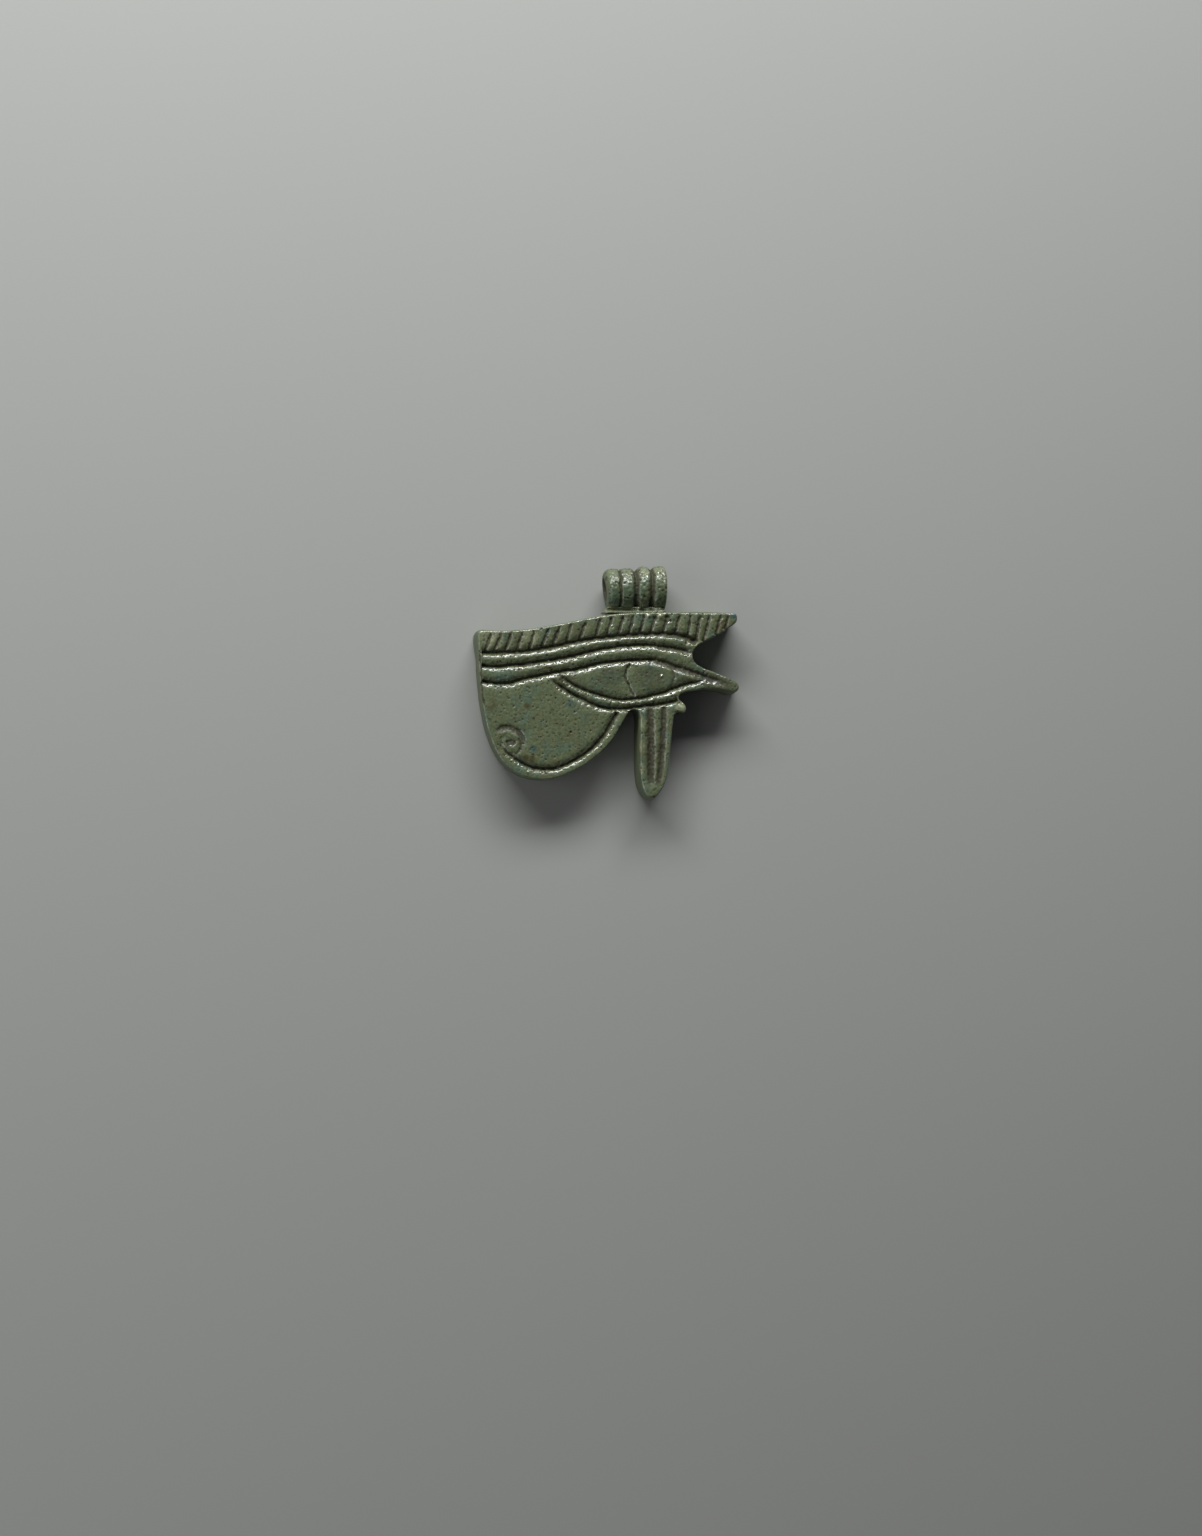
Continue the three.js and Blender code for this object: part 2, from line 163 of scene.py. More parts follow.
SOIL_REACH = 0.95  # how far up its walls a groove is soiled
SOIL_MOST = 0.95
SPLINE_STEPS = 3
DIMPLE_FALL = 2.0  # how fast pits and lumps fade towards their radius
PIT_END = 2.0  # radii past which a pit isn't felt

# The slanting strokes of the brow: where their feet and heads stand, as shares of the plaque's width.
HATCH_PLACES = [
    (0.0235, 0.0525), (0.0585, 0.0915), (0.1011, 0.1275), (0.1454, 0.1718), (0.191, 0.2175),
    (0.2378, 0.271), (0.2813, 0.3126), (0.3336, 0.3546), (0.3832, 0.4137), (0.4443, 0.4691),
    (0.4882, 0.5122), (0.5328, 0.5561), (0.5752, 0.5943), (0.6172, 0.6363), (0.6584, 0.6813),
    (0.7057, 0.7275), (0.7515, 0.7744), (0.7966, 0.8172), (0.8294, 0.8534), (0.8622, 0.8916),
    (0.9118, 0.9332), (0.9481, 0.9615),
]
HATCH_FOOT_GAP = 0.02 * MM
HATCH_TOP_GAP = 0.16 * MM
HATCH_SIZES = (0.26 * MM, 0.3 * MM, 0.15 * MM, 0.2 * MM, 0.7 * MM)  # walls, depth and run-outs, as above
HATCH_PILLOW = 0.13 * MM  # how much the brow sinks towards each stroke
HATCH_PILLOW_WIDTH = 0.46 * MM
HATCH_SOIL = 1.6

# How the front's surface is worn and moulded.
FACE_DROP = 0.06 * MM  # the flat parts lie this much below the crowns
CROWN_WIDTH = 0.52 * MM  # the ridges beside a groove are rounded over this width
CROWN_DROP = 0.27 * MM
CROWN_DEPTH = 0.34 * MM  # beside a shallower groove the ridges are rounded less
SHOULDER_RADIUS = 0.22 * MM
EDGE_ROLL_WIDTH = 1.0 * MM
EDGE_ROLL_DROP = 0.08 * MM
RIM_INSET = 0.11 * MM  # where the front's mesh meets the flank's first row
HAND_WOBBLE = 0.07 * MM
EDGE_WOBBLE = 0.05 * MM
UNEVEN_DEPTH = 0.035 * MM
GRAIN_DEPTH = 0.026 * MM
RAGGED_DEPTH = 0.075 * MM  # unevenness of the ridges beside the grooves
PIT_FILLED = 0.7  # how much of a pit is filled where a groove is soiled

# The noises that make the pieces uneven: the size of their features and a shift that keeps one from following
# another. Then the ways in which noises and drifts are shifted.
NOISES = {
    "hand": (0.6 * MM, 0.0), "edge": (0.26 * MM, 4.0), "groove": (0.7 * MM, 3.1), "face": (1.6 * MM, 0.0),
    "grain": (0.3 * MM, 7.7), "ragged": (0.34 * MM, 5.3), "coarse ragged": (0.782 * MM, 1.9),
    "back": (2.6 * MM, 6.0), "wander": (1.4 * MM, 8.0), "tube": (0.9 * MM, 5.0),
    "fine tube": (0.34 * MM, 9.0), "slip": (0.3 * MM, 2.0),
}
NOISE_WAY = (1.0, 0.7, 1.3)
DRIFT_WAY = (1.0, -1.0, 0.5)
DRIFT_SEED = 5
noise.seed_set(DRIFT_SEED)  # without it the drifts differ from run to run

# The mesh: its cell, the flank's rows, and the back.
CELL = 0.086 * MM
FLANK_ROWS = 11
SHOULDER_ROWS = 4
SKIRT_HEIGHT = 0.5 * MM
FOOT_ROUND = 0.14 * MM
FOOT_BEVEL = 0.3
RIM_FADE = 0.7  # share of the flank over which the rim's ups and downs fade
FLANK_DIRT_LEFT = 0.8  # how much dirt each row of the flank takes over from the one above
BACK_CELL = 0.5 * MM
CUT_GAP = CELL * 0.01  # vertices nearer than this to a cut count as on it
WELD_GAP = CELL * 0.02
LEAST_REACH = CELL * 0.1
BACK_HOLLOW = 0.16 * MM
BACK_HOLLOW_EVEN, BACK_HOLLOW_UNEVEN = 0.55, 0.45
BACK_FLAT_EDGE = 2.0 * MM  # over which the back rises from its edge into the hollow
FLANK_UNEVEN = 0.05 * MM
FLANK_UNEVEN_SIZE = 0.8 * MM
OUTLINE_STEP = 0.08 * MM
OUT_REACH = 5  # steps of the outline over which its direction is evened out
RIM_EVENING = 40  # rounds in which the rim's vertices are spread evenly
SMOOTHED_RINGS = 3  # of vertices inside the rim
SMOOTHING_ROUNDS = 6
SMOOTHING_SHARE = 0.5

# What the plaque's vertices hold only while it is being made.
HELPER_LAYERS = [("float_vector", "foot"), ("float_vector", "out"), ("float", "sunk")]

# Here and in the tables below, a place is given in thousandths of the plaque's width and height, and
# radius, reach, depth and rise in millimetres.

# The flank stands nearly upright, but for the places that reach furthest out.
DRAFT_LEFT = 0.3  # what is left of the mould's draft elsewhere
DRAFTED_PLACES = [(0, 850, 3.0), (1000, 600, 2.4), (666, 0, 1.0), (860, 1000, 4.0)]

# The hook beside the drop is a little lower than the front.
HOOK_DROP = 0.16 * MM
HOOK_CENTRE = (783, 497)
HOOK_REACH = 0.55 * MM

# Pits in the glaze: a seeded scatter of small ones, and the large ones as place, radius and depth.
PIT_SEED = 11
PIT_COUNT = 1100
PIT_RADIUS = (0.09 * MM, 0.15 * MM)
PIT_DEPTH = (0.03 * MM, 0.1 * MM)
PIT_SOIL_DEPTH = 0.045 * MM  # a pit this deep is full of dirt
LIP_PIT_STEP = 0.42 * MM  # the mean way along a groove from one pit on its lip to the next
LIP_PIT_LEAST = 0.3  # only grooves this deep, in millimetres, have pits on their lips
LIP_PIT_REACH = (0.22 * MM, 0.5 * MM)
LIP_PIT_SIZE = 0.85
LIP_PIT_DEPTH = (0.05 * MM, 0.14 * MM)
LARGE_PITS = [
    (171, 291, 0.16, 0.2), (160, 261, 0.17, 0.22), (353, 353, 0.17, 0.2), (368, 460, 0.15, 0.16),
    (295, 535, 0.14, 0.14), (238, 326, 0.13, 0.13), (246, 236, 0.12, 0.13), (724, 972, 0.3, 0.3),
    (735, 955, 0.2, 0.18), (664, 250, 0.18, 0.14), (657, 205, 0.18, 0.14), (665, 170, 0.16, 0.12),
    (668, 315, 0.17, 0.12), (655, 370, 0.15, 0.1), (702, 240, 0.16, 0.12),
]
# Lumps that stand up: a glaze bubble on the iris, the curl's knob, two lumps of slip under the tube's right
# foot and the hook's head, as place, reach and rise.
LUMPS = [
    (701.5, 656.5, 0.2, 0.17), (126, 262, 0.6, 0.03), (651, 980, 0.32, 0.2), (695, 977, 0.48, 0.24),
    (783, 488, 0.45, 0.13), (786, 509, 0.24, 0.12),
]
LUMP_STAND = 0.12 * MM  # how far a lump may stand above the front

# Stains of rust and teal; spots painted lighter, partly glaze rubbed lighter and partly painted highlights
# and painted light; and patches of painted shade. Each is given as place, reach and strength.
STAINS_AND_PAINTED_LIGHT = {"rust": [
    (186, 492, 0.42, 1.0), (180, 215, 0.42, 1.0), (205, 210, 0.42, 1.0), (775, 645, 1.2, 0.4),
    (50, 480, 0.6, 0.5), (300, 400, 0.8, 0.3), (380, 300, 0.8, 0.3), (140, 430, 0.9, 0.25),
    (440, 440, 0.8, 0.3), (160, 215, 0.4, 0.6), (318, 645, 0.4, 1.0), (655, 360, 0.7, 0.6),
    (349, 348, 0.35, 0.7), (270, 690, 0.8, 0.6), (320, 670, 0.5, 0.6), (940, 930, 1.2, 0.6),
    (860, 900, 1.2, 0.4), (811, 850, 0.9, 0.3), (300, 860, 0.9, 0.35), (60, 500, 0.7, 0.5),
    (150, 850, 1.1, 0.35), (370, 900, 0.9, 0.35), (660, 240, 1.6, 0.5), (930, 610, 1.0, 0.5),
], "teal": [
    (208, 264, 0.42, 1.0), (349, 508, 0.6, 0.65), (985, 985, 0.5, 1.0), (120, 660, 1.6, 0.35),
    (500, 660, 1.5, 0.35), (660, 940, 0.8, 0.25), (633, 320, 0.9, 0.3), (633, 180, 0.8, 0.3),
    (732, 400, 0.8, 0.3), (725, 220, 0.8, 0.25), (460, 380, 1.2, 0.2), (100, 850, 0.8, 0.4),
# Spots painted lighter: partly rubbed glaze, partly painted highlights on the hook, the iris's bubble, the
# slip's lumps, the brow's top edge and the ends of the bands, and painted light on the tube's top and the
# drop's shaded left side.
], "pale": [
    (785, 500, 0.7, 1.3), (651, 988, 0.3, 0.9), (695, 990, 0.42, 0.9), (45, 235, 0.5, 0.5),
    (10, 890, 0.4, 0.9), (140, 345, 0.5, 0.5), (50, 850, 1.8, 0.65), (200, 860, 1.6, 0.6),
    (300, 620, 0.5, 0.4), (765, 492, 0.5, 1.0), (701.5, 658.5, 0.2, 1.0), (475, 1005, 1.2, 0.8),
    (510, 1250, 1.8, 0.6), (570, 1250, 1.8, 0.6), (640, 1250, 1.8, 0.7), (700, 1250, 1.8, 0.7),
    (330, 930, 1.2, 0.3), (774, 668, 0.35, 0.3), (820, 648, 0.3, 0.6), (12.2, 723, 0.2, 1.0),
    (17.2, 642.5, 0.2, 1.0), (20, 771, 0.2, 0.8), (613, 400, 1.0, 0.7), (611, 280, 1.0, 0.7),
    (611, 160, 1.0, 0.7), (622, 60, 0.8, 0.6), (520, 1000, 0.6, 0.6), (600, 1000, 0.6, 0.6),
# The shade spots are painted shade: a darker green laid on the eyeball, the iris, the tail, the drop and a
# few other places.
], "shade": [
    (660, 650, 2.2, 0.75), (500, 640, 1.8, 0.6), (680, 250, 1.8, 0.4), (620, 860, 1.6, 0.3),
    (320, 645, 0.5, 0.8), (900, 630, 1.4, 0.7), (950, 605, 1.3, 0.8), (550, 240, 1.0, 0.3),
    (30, 400, 1.6, 0.3),
]}

# The suspension tube, rolled along X and standing against the brow.
TUBE_LOW, TUBE_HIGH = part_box("suspension_tube")
TUBE_RADIUS = (TUBE_HIGH.z - TUBE_LOW.z) / 2
TUBE_AXIS = Vector((0, (TUBE_LOW.y + TUBE_HIGH.y) / 2, (TUBE_LOW.z + TUBE_HIGH.z) / 2))
TUBE_LENGTH = TUBE_HIGH.x - TUBE_LOW.x
BORE_RADIUS = 1.05 * MM
BORE_FLARE = 0.22 * MM
BORE_FLARE_POWER = 12
BORE_STEPS = 24
# The bore's inside takes the dirt's dark colour in full: painted shade.
BORE_PAINTED_SHADE = 1.0
TUBE_DULL_END = 0.12 * MM
END_STEPS = 6
# The grooves between the ribs, as share of the tube's length, half width and depth.
RIB_GROOVES = [(0.257, 0.3 * MM, 0.22 * MM), (0.508, 0.6 * MM, 0.4 * MM), (0.766, 0.54 * MM, 0.36 * MM)]
RIB_GROOVE_FALL = 3.0
RIB_EDGES = np.array((0.0, *(groove[0] for groove in RIB_GROOVES), 1.0)) * TUBE_LENGTH
RIB_MIDDLES = (RIB_EDGES[1:] + RIB_EDGES[:-1]) / 2
RIB_WORN = (0.36 * MM, 0.34 * MM, 0.1 * MM, 0.0)  # how much smaller each rib is than the thickest
RIB_CROWN_DROP = 0.1 * MM
RIB_CROWN_POWER = 2.5
TUBE_LEFT_ROUND = 1.0 * MM
TUBE_RIGHT_ROUND = 0.3 * MM
TUBE_ROUND_DEPTH = 0.8
TUBE_LEFT_SLANT = 0.4 * MM  # how much shorter the left end is on the brow's side
TUBE_SLANT_REACH = 1.6 * MM
TUBE_STEPS = 110
TUBE_SIDES = 210
TUBE_WEAR = 0.11 * MM
TUBE_WEAR_NEAR, TUBE_WEAR_FAR = 0.3, 0.7  # on the brow's side, and what comes to it on the far side
TUBE_WANDER = 0.14 * MM
TUBE_UNEVEN_SHARE = 0.5
TUBE_FINE_SHARE = 0.9
TUBE_RIM_HIGHLIGHT_WIDTH = 0.16 * MM  # the right end's rim is painted lighter over this width, a painted highlight
TUBE_PITS = 170
TUBE_PIT_RADIUS = (0.1 * MM, 0.26 * MM)
TUBE_PIT_DEPTH = (0.04 * MM, 0.14 * MM)
TUBE_PIT_SOIL = 0.7

# The slip that joins the tube to the brow. Its lumps are given in millimetres, as place from the tube's left
# foot, reach and rise.
SLIP_LOW, SLIP_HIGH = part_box("luting_slip")
SLIP_CELL = 0.06 * MM
SLIP_FOOT = 1.95 * MM
SLIP_HOLLOW = 0.9 * MM
SLIP_SHOULDER = 1.4 * MM
SLIP_FILM = 0.05 * MM
SLIP_TURN = 0.5 * MM
SLIP_TIP = 0.12
SLIP_NARROW = 0.97
SLIP_TAPER = 1.2
SLIP_LEFT_SHARE = 0.2  # how much of the slip's flare past the tube's left end shows
SLIP_ROUGHNESS = 0.05 * MM
SLIP_DIRT = 0.3
SLIP_LUMPS = [
    (7.2, 0.15, 0.4, 0.5), (6.3, 0.1, 0.42, 0.55),
    (5.3, 0.2, 0.35, 0.4), (4.2, 0.45, 0.3, 0.25),
    (6.8, 0.5, 0.3, 0.3),
]


def srgb(red, green, blue):
    """A colour as it reads on a screen, turned into the shader's own linear values."""
    return tuple((v / 255 / 12.92) if v / 255 <= 0.04045 else ((v / 255 + 0.055) / 1.055) ** 2.4
                 for v in (red, green, blue)) + (1.0,)


# How proud edges are found: the rounds in which the surface's bulge is evened out, and how fast it turns to
# the lighter edge mark, which is partly rubbed glaze and partly a painted highlight along the edges and the
# lips of the grooves.
WEAR_AND_HIGHLIGHT_ROUNDS = 3
WEAR_AND_HIGHLIGHT_GAIN = 3.6

# How detailed the shader's noises are: soft ones, fine ones and the bump's.
SOFT_DETAIL, FINE_DETAIL, BUMP_DETAIL = 3.0, 4.0, 5.0

# The glaze's colour. A cloud has its size, its noise's distortion, and the noise's values where it begins and
# where it is full.
CLOUDS = {"Cool": (2.4 * MM, 0.6, 0.48, 0.76), "Warm": (1.0 * MM, 0.4, 0.52, 0.8)}
GLAZE_GRAIN_SIZE = 0.22 * MM
GLAZE_GRAIN_NOISE = (0.25, 0.75)
GLAZE_GRAIN_RANGE = (0.76, 1.24)
WARM_GREEN = srgb(92, 93, 62)

# The paints over it: the size of the breaks in their edge, the mask's values where they begin and where they
# are full, how strong they are, and their colour.
STAIN_AND_SHADE_PAINTS = {
    "teal": (0.5 * MM, (0.05, 1.0), 0.8, srgb(38, 74, 80)),
    "rust": (0.4 * MM, (0.05, 0.8), 0.9, srgb(66, 60, 30)),
    # The shade paint is painted shade, a darker green.
    "shade": (0.6 * MM, (0.0, 1.0), 0.7, srgb(52, 58, 44)),
}
# The light olive of proud edges and lighter spots: partly rubbed glaze, partly painted highlight.
WEAR_AND_HIGHLIGHT_PAINT = (0.25 * MM, (0.15, 0.9), 0.7, srgb(140, 144, 114))
DIRT_BREAKS = 0.3 * MM
# The dirt's paint also darkens the tube's bore, as painted shade.
DIRT_AND_BORE_SHADE_PAINT = (0.88, srgb(42, 37, 20))
BREAK_NOISE = (0.2, 0.8)
BREAK_RANGE = (0.55, 1.45)

# Dark specks. Their size is a share of their spacing, and each may be as small and as faint as the least.
SPECK_SPACING = 0.55 * MM
SPECK_SIZE = 0.38
SPECK_LEAST_SIZE = 0.4
SPECK_CORE = 0.6
SPECK_SHARE = 0.5
SPECK_LEAST_DEPTH = 0.5
SPECK_BEND = 0.16 * MM
SPECK_STRENGTH = 0.9
SPECK_HOLLOW = 0.8  # how deep a speck is in the bump
DULL_SPECKS = 0.4  # how much of the specks shows on the flank and back
SPECK = srgb(24, 24, 16)

# The gloss.
SHEEN_SIZE = 0.4 * MM
SHEEN_NOISE = (0.3, 0.7)
GLAZE_ROUGHNESS = (0.3, 0.48)
DIRT_ROUGHNESS = 0.75
DULL_ROUGHNESS = 0.62
GLAZE_COAT = 1.0
PATCH_GLOSS = 0.18  # what is left of the coat where the glaze has lost its gloss
COAT_IOR = 1.75
BUMP_SIZE = 0.12 * MM
BUMP_STRENGTH = 0.9
BUMP_DEPTH = 0.025 * MM

# Each finish: its main and cool green, the dirt's values where it begins and where it is full, the coat's
# roughness, and the size of the dull patches and the noise over which they turn glossy.
TUBE_GLOSS = (0.16, 0.3 * MM, (0.58, 0.68))
FINISHES = {
    "plaque glaze": (srgb(86, 95, 68), srgb(74, 94, 78), (0.15, 1.0), 0.11, 0.5 * MM, (0.42, 0.56)),
    "tube glaze": (srgb(76, 87, 62), srgb(72, 94, 76), (0.1, 0.85), *TUBE_GLOSS),
    "slip glaze": (srgb(84, 92, 68), srgb(74, 94, 78), (0.2, 1.2), *TUBE_GLOSS),
}


def place(spot):
    """Where shares of the plaque's width and height lie in metres."""
    return PLAQUE_CORNER + np.asarray(spot, float) * PLAQUE_SCALE


def spot_at(x, y):
    """The same for a place in thousandths."""
    return place((x / 1000, y / 1000))


def spline(points, steps=SPLINE_STEPS):
    """A smooth curve through the points."""
    p = np.array([points[0], *points, points[-1]], float)
    t = (np.arange(steps) / steps)[:, None]
    rows = [0.5 * (2 * b + (c - a) * t + (2 * a - 5 * b + 4 * c - d) * t ** 2
                   + (3 * b - a - 3 * c + d) * t ** 3)
            for a, b, c, d in zip(p, p[1:], p[2:], p[3:])]
    return np.vstack([*rows, p[-1:]])


def plaque_outline():
    """The plaque's edge, clockwise from the brow's left end, closed."""
    line = place(spline(BROW_TOP))
    for run in (BROW_END + BROW_UNDER + NOTCH, EYE_TAIL, HOOK, DROP, CHEEK):
        last = (line[-1] - PLAQUE_CORNER) / PLAQUE_SCALE
        line = np.vstack([line, place(spline([tuple(last), *run]))[1:]])
    return line


def nearest_on(points, line):
    """For each point its distance to the line and how far along the line the nearest place is, and the line's
    length. The distance is negative on the line's left."""
    gap = np.full(len(points), np.inf)
    side = np.ones(len(points))
    run = np.zeros(len(points))
    start = 0.0
    for a, b in zip(line, line[1:]):
        step = b - a
        length = math.hypot(*step)
        if length == 0:
            continue
        offset = points - a
        share = np.clip(offset @ step / length ** 2, 0, 1)
        away = np.hypot(*(offset - share[:, None] * step).T)
        closer = away < gap
        gap[closer] = away[closer]
        side[closer] = np.where(step[0] * offset[closer, 1] > step[1] * offset[closer, 0], -1, 1)
        run[closer] = start + share[closer] * length
        start += length
    return gap * side, run, start


def inside(points, line):
    """Which points lie within a closed line."""
    odd = np.zeros(len(points), bool)
    for a, b in zip(line, line[1:]):
        if a[1] != b[1]:
            crosses = (a[1] > points[:, 1]) != (b[1] > points[:, 1])
            odd ^= crosses & (points[:, 0] < a[0] + (points[:, 1] - a[1]) * (b[0] - a[0]) / (b[1] - a[1]))
    return odd


def noise_at(places, kind):
    """Smooth noise from -1 to 1 of that kind."""
    size, shift = NOISES[kind]
    offset = Vector([shift * part for part in NOISE_WAY])
    return np.array([noise.noise(Vector(p) / size + offset) for p in places])


def drift_at(places, kind):
    """A smooth random direction for each place."""
    size, shift = NOISES[kind]
    offset = Vector([shift * part for part in DRIFT_WAY])
    return np.array([noise.noise_vector(Vector(p) / size + offset) for p in places])


def flat(points):
    """The points at height 0."""
    return np.column_stack([points, np.zeros(len(points))])


class Outline:
    """The plaque's edge with even steps, and the direction out of it at each."""

    def __init__(self):
        line = plaque_outline()
        lengths = np.hypot(*np.diff(line, axis=0).T)
        runs = np.concatenate([[0], np.cumsum(lengths)])
        count = int(runs[-1] / OUTLINE_STEP)
        self.length = runs[-1]
        self.runs = np.linspace(0, self.length, count + 1)
        self.line = np.column_stack([np.interp(self.runs, runs, line[:, k]) for k in (0, 1)])
        ring = self.line[:-1]
        along = np.roll(ring, -OUT_REACH, 0) - np.roll(ring, OUT_REACH, 0)
        out = np.column_stack([-along[:, 1], along[:, 0]])
        out = sum(np.roll(out, k, 0) for k in range(-OUT_REACH, OUT_REACH + 1))
        out /= np.hypot(*out.T)[:, None]
        self.out = np.vstack([out, out[:1]])

    def at(self, run):
        """The edge's place and its direction outwards at each length along it."""
        run = np.mod(run, self.length)
        spot = np.column_stack([np.interp(run, self.runs, self.line[:, k]) for k in (0, 1)])
        out = np.column_stack([np.interp(run, self.runs, self.out[:, k]) for k in (0, 1)])
        return spot, out / np.hypot(*out.T)[:, None]


def hatch_lines():
    """The brow's strokes, each from its groove up towards the brow's top."""
    groove, top, under = place(BROW_GROOVE), place(BROW_TOP + BROW_END), place(BROW_UNDER[::-1])
    for foot, head in PLAQUE_CORNER[0] + np.array(HATCH_PLACES) * PLAQUE_WIDTH:
        floor = groove if foot < groove[-1][0] else under
        yield np.array([(foot, np.interp(foot, *floor.T) + HATCH_FOOT_GAP),
                        (head, np.interp(head, *top.T) - HATCH_TOP_GAP)])


def smooth(share):
    """Runs smoothly from 0 to 1."""
    share = np.clip(share, 0, 1)
    return share * share * (3 - 2 * share)


def bell(share, fall=1.0):
    """1 in the middle, and less further out: the higher the fall, the faster."""
    return np.exp(-fall * share ** 2)


def carved(points, line, steep, gentle, depth, run_in, run_out):
    """How deep a groove along the line cuts at each point, how far off its line each point is, how much of it
    is left there, as it runs out at its ends, and how soiled its floor is."""
    gap, run, length = nearest_on(points, line)
    left = smooth(GROOVE_END_LEFT + run / run_in) * smooth(GROOVE_END_LEFT + (length - run) / run_out)
    wall = np.clip(np.where(gap < 0, -gap / steep, gap / gentle), 0, 1)
    profile = (0.5 + 0.5 * np.cos(np.pi * wall)) ** (1 / GROOVE_SHARPNESS)
    floor = smooth(1 - wall / SOIL_REACH)
    return depth * left * profile, np.abs(gap), left, left * floor


def dimple(points, x, y, reach):
    """A round bump about a place, from 1 in its middle to nearly 0 past its reach."""
    away = np.hypot(*(points - spot_at(x, y)).T)
    return bell(away / (reach * MM), DIMPLE_FALL)


def relief(points, edge_gap):
    """The height of the carved front at each point, and how much dirt lies in its hollows."""
    spots = flat(points)
    hand = points + drift_at(spots, "hand")[:, :2] * HAND_WOBBLE
    hand += drift_at(spots, "edge")[:, :2] * EDGE_WOBBLE
    uneven = 1 + GROOVE_UNEVEN * noise_at(spots, "groove")
    depth, crown, pillow, soil = np.zeros((4, len(points)))
    for way, *sizes, soiled in GROOVES:
        cut, gap, left, floor = carved(hand, place(spline(way)), *(size * MM for size in sizes))
        depth = np.maximum(depth, cut * uneven)
        share = min(1.0, sizes[2] * MM / CROWN_DEPTH)
        crown = np.maximum(crown, share * left * bell(gap / CROWN_WIDTH))
        soil = np.maximum(soil, np.minimum(soiled * floor, SOIL_MOST))
    for line in hatch_lines():
        cut, gap, left, floor = carved(hand, line, *HATCH_SIZES)
        depth = np.maximum(depth, cut * uneven)
        pillow = np.maximum(pillow, left * bell(gap / HATCH_PILLOW_WIDTH))
        soil = np.maximum(soil, np.minimum(HATCH_SOIL * floor * uneven, SOIL_MOST))
    height = FRONT - FACE_DROP - depth - CROWN_DROP * crown - HATCH_PILLOW * pillow
    height -= EDGE_ROLL_DROP * np.clip(1 - edge_gap / EDGE_ROLL_WIDTH, 0, 1) ** 2
    round_off = np.clip(1 - edge_gap / SHOULDER_RADIUS, 0, 1)
    height -= SHOULDER_RADIUS * (1 - np.sqrt(np.clip(1 - round_off ** 2, 0, 1)))
    height += UNEVEN_DEPTH * noise_at(spots, "face")
    height += GRAIN_DEPTH * noise_at(spots, "grain")
    ragged = noise_at(spots, "ragged") + noise_at(spots, "coarse ragged")
    height += RAGGED_DEPTH * np.maximum(crown, pillow) * ragged
    height -= HOOK_DROP * bell(np.hypot(*(points - spot_at(*HOOK_CENTRE)).T) / HOOK_REACH)
    pits = pits_at(points)
    height -= pits * (1 - PIT_FILLED * soil)
    soil = np.maximum(soil, np.clip(pits / PIT_SOIL_DEPTH, 0, 1))
    for x, y, reach, rise in LUMPS:
        height += rise * MM * dimple(points, x, y, reach)
    return np.minimum(height, FRONT + LUMP_STAND), soil


def pits_at(points):
    """How deep the pits are at each point: scattered ones, those on the grooves' lips and the large ones."""
    rng = np.random.default_rng(PIT_SEED)
    chosen = [(place(rng.random(2)), rng.uniform(*PIT_RADIUS), rng.uniform(*PIT_DEPTH))
              for _ in range(PIT_COUNT)]
    for groove in GROOVES:
        if groove[3] < LIP_PIT_LEAST:
            continue
        line = place(spline(groove[0]))
        step = np.diff(line, axis=0)
        runs = np.concatenate([[0], np.cumsum(np.hypot(*step.T))])
        for _ in range(int(runs[-1] / LIP_PIT_STEP)):
            run = rng.uniform(0, runs[-1])
            way = step[min(np.searchsorted(runs, run), len(step)) - 1]
            right = np.array((way[1], -way[0])) / math.hypot(*way)
            spot = np.array([np.interp(run, runs, line[:, k]) for k in (0, 1)])
            chosen.append((spot + right * rng.uniform(*LIP_PIT_REACH),
                           rng.uniform(*PIT_RADIUS) * LIP_PIT_SIZE, rng.uniform(*LIP_PIT_DEPTH)))
    chosen += [(spot_at(x, y), radius * MM, depth * MM) for x, y, radius, depth in LARGE_PITS]
    pits = np.zeros(len(points))
    for spot, radius, depth in chosen:
        near = np.flatnonzero(np.abs(points - spot).max(1) < PIT_END * radius)
        away = np.hypot(*(points[near] - spot).T)
        pits[near] = np.maximum(pits[near], depth * bell(away / radius, DIMPLE_FALL))
    return pits


def rim_loop(bm):
    """The edge's vertices in order round the sheet."""
    start = next(v for v in bm.verts if v.is_boundary)
    loop = [start]
    back = None
    here = start
    while True:
        edge = next(e for e in here.link_edges if e.is_boundary and e is not back)
        here = edge.other_vert(here)
        back = edge
        if here is start:
            return loop
        loop.append(here)


def drop_pinches(bm):
    """Removes faces that touch the rest of the sheet at one corner only."""
    while True:
        pinched = [v for v in bm.verts if sum(e.is_boundary for e in v.link_edges) > 2]
        if not pinched:
            return
        faces = dict.fromkeys(f for v in pinched for f in v.link_faces)
        bmesh.ops.delete(bm, geom=list(faces), context="FACES")


def keep_largest(bm):
    """Removes every island of the sheet but the largest."""
    left = set(bm.faces)
    islands = []
    while left:
        island, grown = set(), {left.pop()}
        while grown:
            island |= grown
            left -= grown
            grown = {other for face in grown for edge in face.edges for other in edge.link_faces} & left
        islands.append(island)
    largest = max(islands, key=len)
    bmesh.ops.delete(bm, geom=[f for f in bm.faces if f not in largest], context="FACES")


